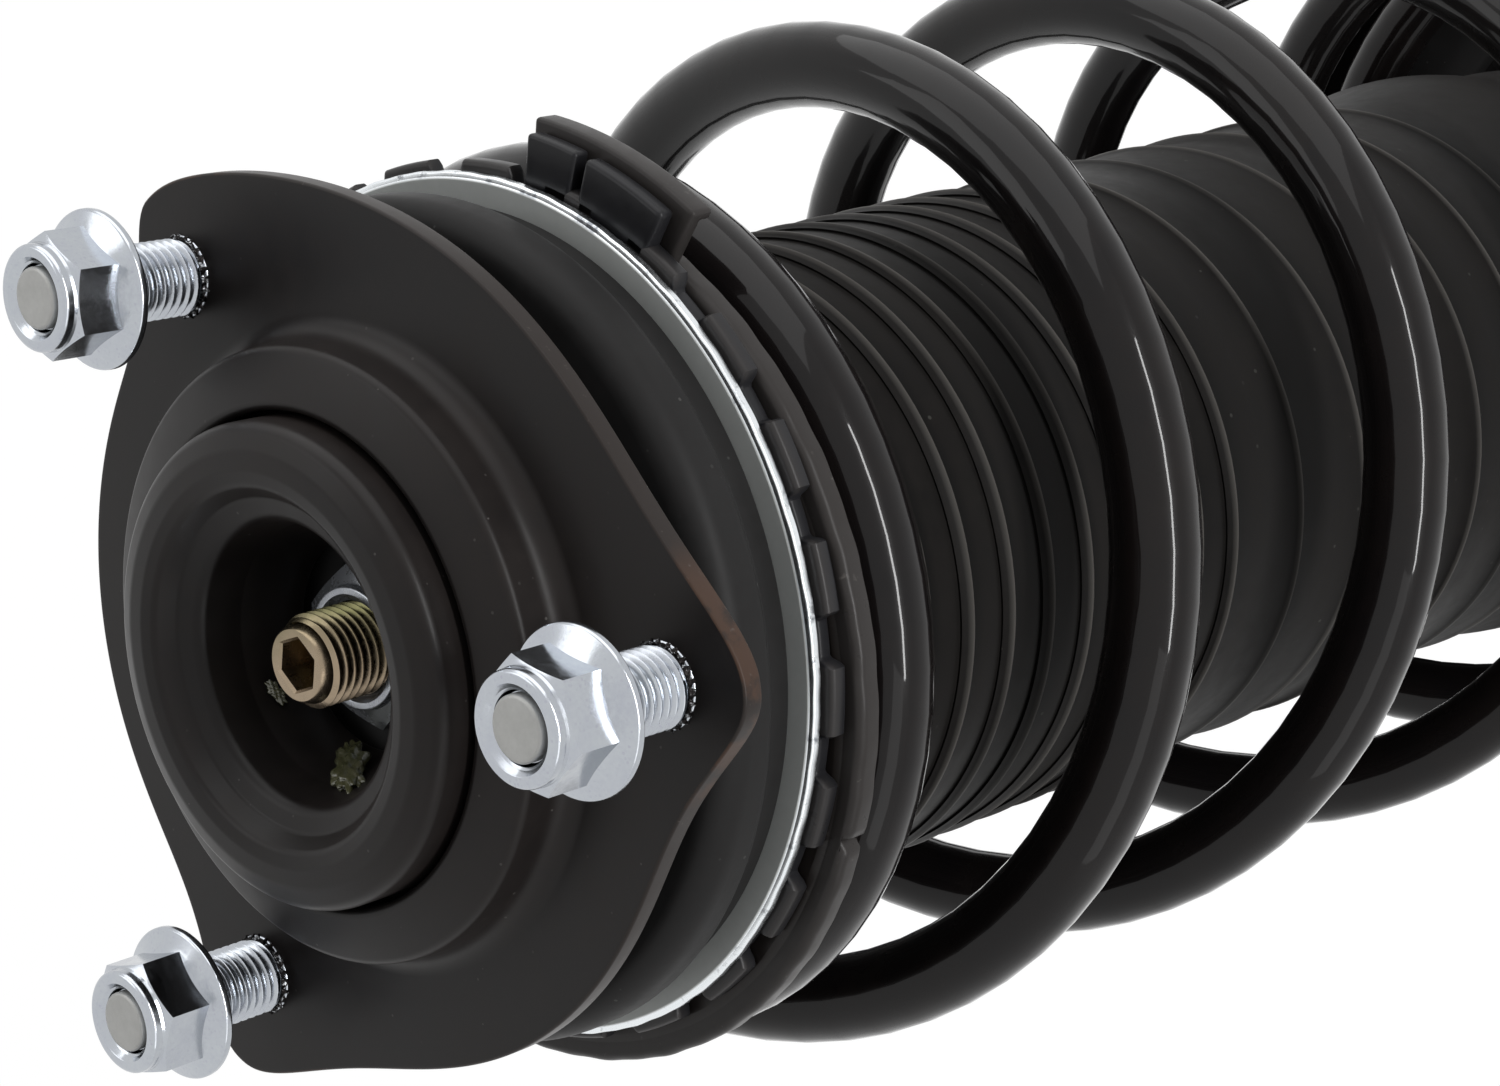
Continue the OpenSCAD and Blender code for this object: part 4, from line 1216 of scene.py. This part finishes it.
class MakeLowerSeat(bpy.types.Operator):
    """Model the pressed lower spring seat and its rubber pad"""
    bl_idname = "strut.lower_seat"
    bl_label = "Lower spring seat"

    def execute(self, context):
        low, high = low_high("lower_spring_seat")
        centre_y = (low.y + high.y) / 2
        rim = (high.y - low.y) / 2
        top = low.z + 14
        tube = sizes().tube / MM / 2
        bm = bmesh.new()
        path = rounded([(34, top + 12, 4), (54, top, 5), (rim - 7, top, 4),
                        (rim - 2.6, top + 4, 3), (rim - 2.6, top + 11, 1.2), (rim, top + 11, 1.2),
                        (rim, top + 3, 4), (rim - 6, top - 3, 4), (53, top - 3, 5),
                        (33, top + 9, 3), (33, top - 14, 1), (30, top - 14, 1), (30, top + 12, 1)],
                       steps=6)
        lathe(bm, path, 192, centre=(0, centre_y))

        def lip(v):
            r = out_from_axis(v, centre_y)
            return 0.6 if v.co.z > top + 9.6 and r > 80 else 0.0

        mark(bm, "edge", lip)
        lathe(bm, rounded([(tube, top + 13), (33, top + 11, 2), (31, top + 8), (tube, top + 8)]),
              96)
        finish_piece(bm, "lower_seat", "strut_body", ["lower_spring_seat"],
                     "tube_coat", sharp=45)

        low, high = low_high("lower_spring_pad")
        bm = bmesh.new()
        lathe(bm, rounded([(56, low.z), (79.4, low.z), (79.4, high.z, 1.5), (56, high.z, 1.5)]),
              160, centre=(0, centre_y))
        finish_piece(bm, "lower_pad", "strut_body", ["lower_spring_pad"],
                     "block_rubber")
        return {"FINISHED"}


INNER_FINISH = {
    "mount_inner_sleeve": "turned_steel", "bearing_upper_race": "ground_steel",
    "bearing_balls": "ground_steel", "bearing_cage": "cage_plastic",
    "bearing_lower_race": "ground_steel", "stop_washer": "turned_steel",
    "rebound_stop": "block_rubber", "piston": "sintered_steel", "piston_band": "band_bronze",
    "piston_nut": "nut_zinc", "rod_seal": "block_rubber", "rod_guide": "sintered_steel",
    "inner_cylinder": "ground_steel", "base_valve": "sintered_steel",
    "knuckle_bracket": "tube_coat", "hose_bracket": "tube_coat",
    "stabilizer_bracket": "tube_coat",
}


class DressInnerPieces(bpy.types.Operator):
    """Give the CAD nodes that stay as they are their materials"""
    bl_idname = "strut.inner_pieces"
    bl_label = "Inner pieces"

    def execute(self, context):
        for node, finish in INNER_FINISH.items():
            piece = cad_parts[node]
            piece.data.materials.clear()
            piece.data.materials.append(finish_of(finish))
        return {"FINISHED"}


# ---------------------------------------------------------------- stage

# name, place, what it faces, size in metres and power in watts
LAMPS = (("top_softbox", (0.25, 1.05, 0.10), (0, 0, -0.10), (1.5, 1.1), 7.5),
         ("side_strip", (0.93, -0.10, 0.06), (0.0, 0.0, -0.10), (1.00, 0.07), 8.0),
         ("front_card", (-0.35, 0.62, 0.75), (0, 0, 0), (0.5, 0.5), 1.3),
         ("low_card", (0.55, -0.75, 0.30), (0, 0, -0.05), (0.7, 0.4), 1.0))
# the camera's place, its axes in the scene, and its lens in millimetres on 36 mm of sensor
CAMERA_AT = Vector((0.312, 0.0, 0.2461))
RIGHT = Vector((0.68578, -0.28108, -0.67135))
DOWN = Vector((-0.19854, -0.95968, 0.19899))
AHEAD = Vector((-0.70021, -0.00317, -0.71393))
LENS = 76.48
BACKDROP = 1.07     # glow of the pale background
ROOM = 0.10         # what reaches the matte surfaces from all round
FLOOR_GLOW = 0.92   # share of the glow in the floor
FLOOR_RADIUS, FLOOR_GAP = 6.0, 0.002


def area_light(name, spot, target, size, power):
    data = bpy.data.lights.new(name, "AREA")
    data.shape = "RECTANGLE"
    data.size, data.size_y = size
    data.energy = power
    lamp = bpy.data.objects.new(name, data)
    lamp.location = spot
    lamp.rotation_mode = "QUATERNION"
    lamp.rotation_quaternion = (Vector(target) - Vector(spot)).to_track_quat("-Z", "Y")
    bpy.context.scene.collection.objects.link(lamp)


class MakeStage(bpy.types.Operator):
    """Set up the camera, the pale floor, the lamps and the world"""
    bl_idname = "strut.stage"
    bl_label = "Stage"

    def execute(self, context):
        scene = context.scene
        scene.view_settings.view_transform = "Standard"

        camera = bpy.data.cameras.new("camera")
        camera.sensor_width = 36.0
        camera.lens = LENS
        camera.clip_start, camera.clip_end = 0.01, 50
        holder = bpy.data.objects.new("camera", camera)
        place = Matrix((RIGHT, -DOWN, -AHEAD)).transposed().to_4x4()
        place.translation = CAMERA_AT
        holder.matrix_world = place
        scene.collection.objects.link(holder)
        scene.camera = holder

        bm = bmesh.new()
        bmesh.ops.create_circle(bm, cap_ends=True, segments=96, radius=FLOOR_RADIUS)
        bmesh.ops.translate(bm, vec=(0, 0, CAD_BOX[0].z - FLOOR_GAP), verts=bm.verts)
        mesh = bpy.data.meshes.new("floor")
        bm.to_mesh(mesh)
        bm.free()
        floor = bpy.data.objects.new("floor", mesh)
        scene.collection.objects.link(floor)
        mesh.materials.append(self.floor_material())

        self.world(scene)
        for lamp in LAMPS:
            area_light(*lamp)
        return {"FINISHED"}

    def floor_material(self):
        material = bpy.data.materials.new("studio_floor")
        material.use_nodes = True
        tree = material.node_tree
        tree.nodes.clear()
        out = tree.nodes.new("ShaderNodeOutputMaterial")
        matte = add(tree, "ShaderNodeBsdfDiffuse", Color=(*finishes().backdrop, 1))
        glow = add(tree, "ShaderNodeEmission", Strength=BACKDROP)
        blend = tree.nodes.new("ShaderNodeMixShader")
        tree.links.new(maths(tree, "MULTIPLY", seen_rays(tree), FLOOR_GLOW), blend.inputs[0])
        tree.links.new(matte.outputs[0], blend.inputs[1])
        tree.links.new(glow.outputs[0], blend.inputs[2])
        tree.links.new(blend.outputs[0], out.inputs["Surface"])
        return material

    def world(self, scene):
        world = bpy.data.worlds.new("studio")
        scene.world = world
        world.use_nodes = True
        tree = world.node_tree
        background = tree.nodes["Background"]
        background.inputs["Color"].default_value = (1, 1, 1, 1)
        level = add(tree, "ShaderNodeMapRange", To_Min=ROOM, To_Max=BACKDROP)
        tree.links.new(seen_rays(tree), level.inputs["Value"])
        tree.links.new(level.outputs[0], background.inputs["Strength"])


OPERATORS = (MakeFinishes, MakeFlangeNuts, MakeStuds, MakeTopPlate, MakeInnerCup,
             MakeRubberBlock, MakeLowerPlate, MakeRodEnd, MakeGrease, MakeDustSeal,
             MakeUpperSeat, MakeSpring, MakeBoot, MakeBumpStop, MakeTube, MakeLowerSeat,
             DressInnerPieces, MakeStage)


class StrutPanel(bpy.types.Panel):
    """Lists the strut's pieces and its settings"""
    bl_idname = "STRUT_PT_panel"
    bl_label = "Strut"
    bl_space_type = "VIEW_3D"
    bl_region_type = "UI"
    bl_category = "Strut"

    def draw(self, context):
        for group in (context.scene.strut_sizes, context.scene.strut_finishes):
            box = self.layout.box()
            for name in group.__annotations__:
                box.prop(group, name)
        for operator in OPERATORS:
            self.layout.operator(operator.bl_idname)


CLASSES = (StrutSizes, StrutFinishes, *OPERATORS, StrutPanel)


def register():
    for item in CLASSES:
        bpy.utils.register_class(item)
    bpy.types.Scene.strut_sizes = bpy.props.PointerProperty(type=StrutSizes)
    bpy.types.Scene.strut_finishes = bpy.props.PointerProperty(type=StrutFinishes)


def unregister():
    del bpy.types.Scene.strut_finishes
    del bpy.types.Scene.strut_sizes
    for item in reversed(CLASSES):
        bpy.utils.unregister_class(item)


def main():
    register()
    for operator in OPERATORS:
        group, name = operator.bl_idname.split(".")
        getattr(getattr(bpy.ops, group), name)()


if __name__ == "__main__":
    main()
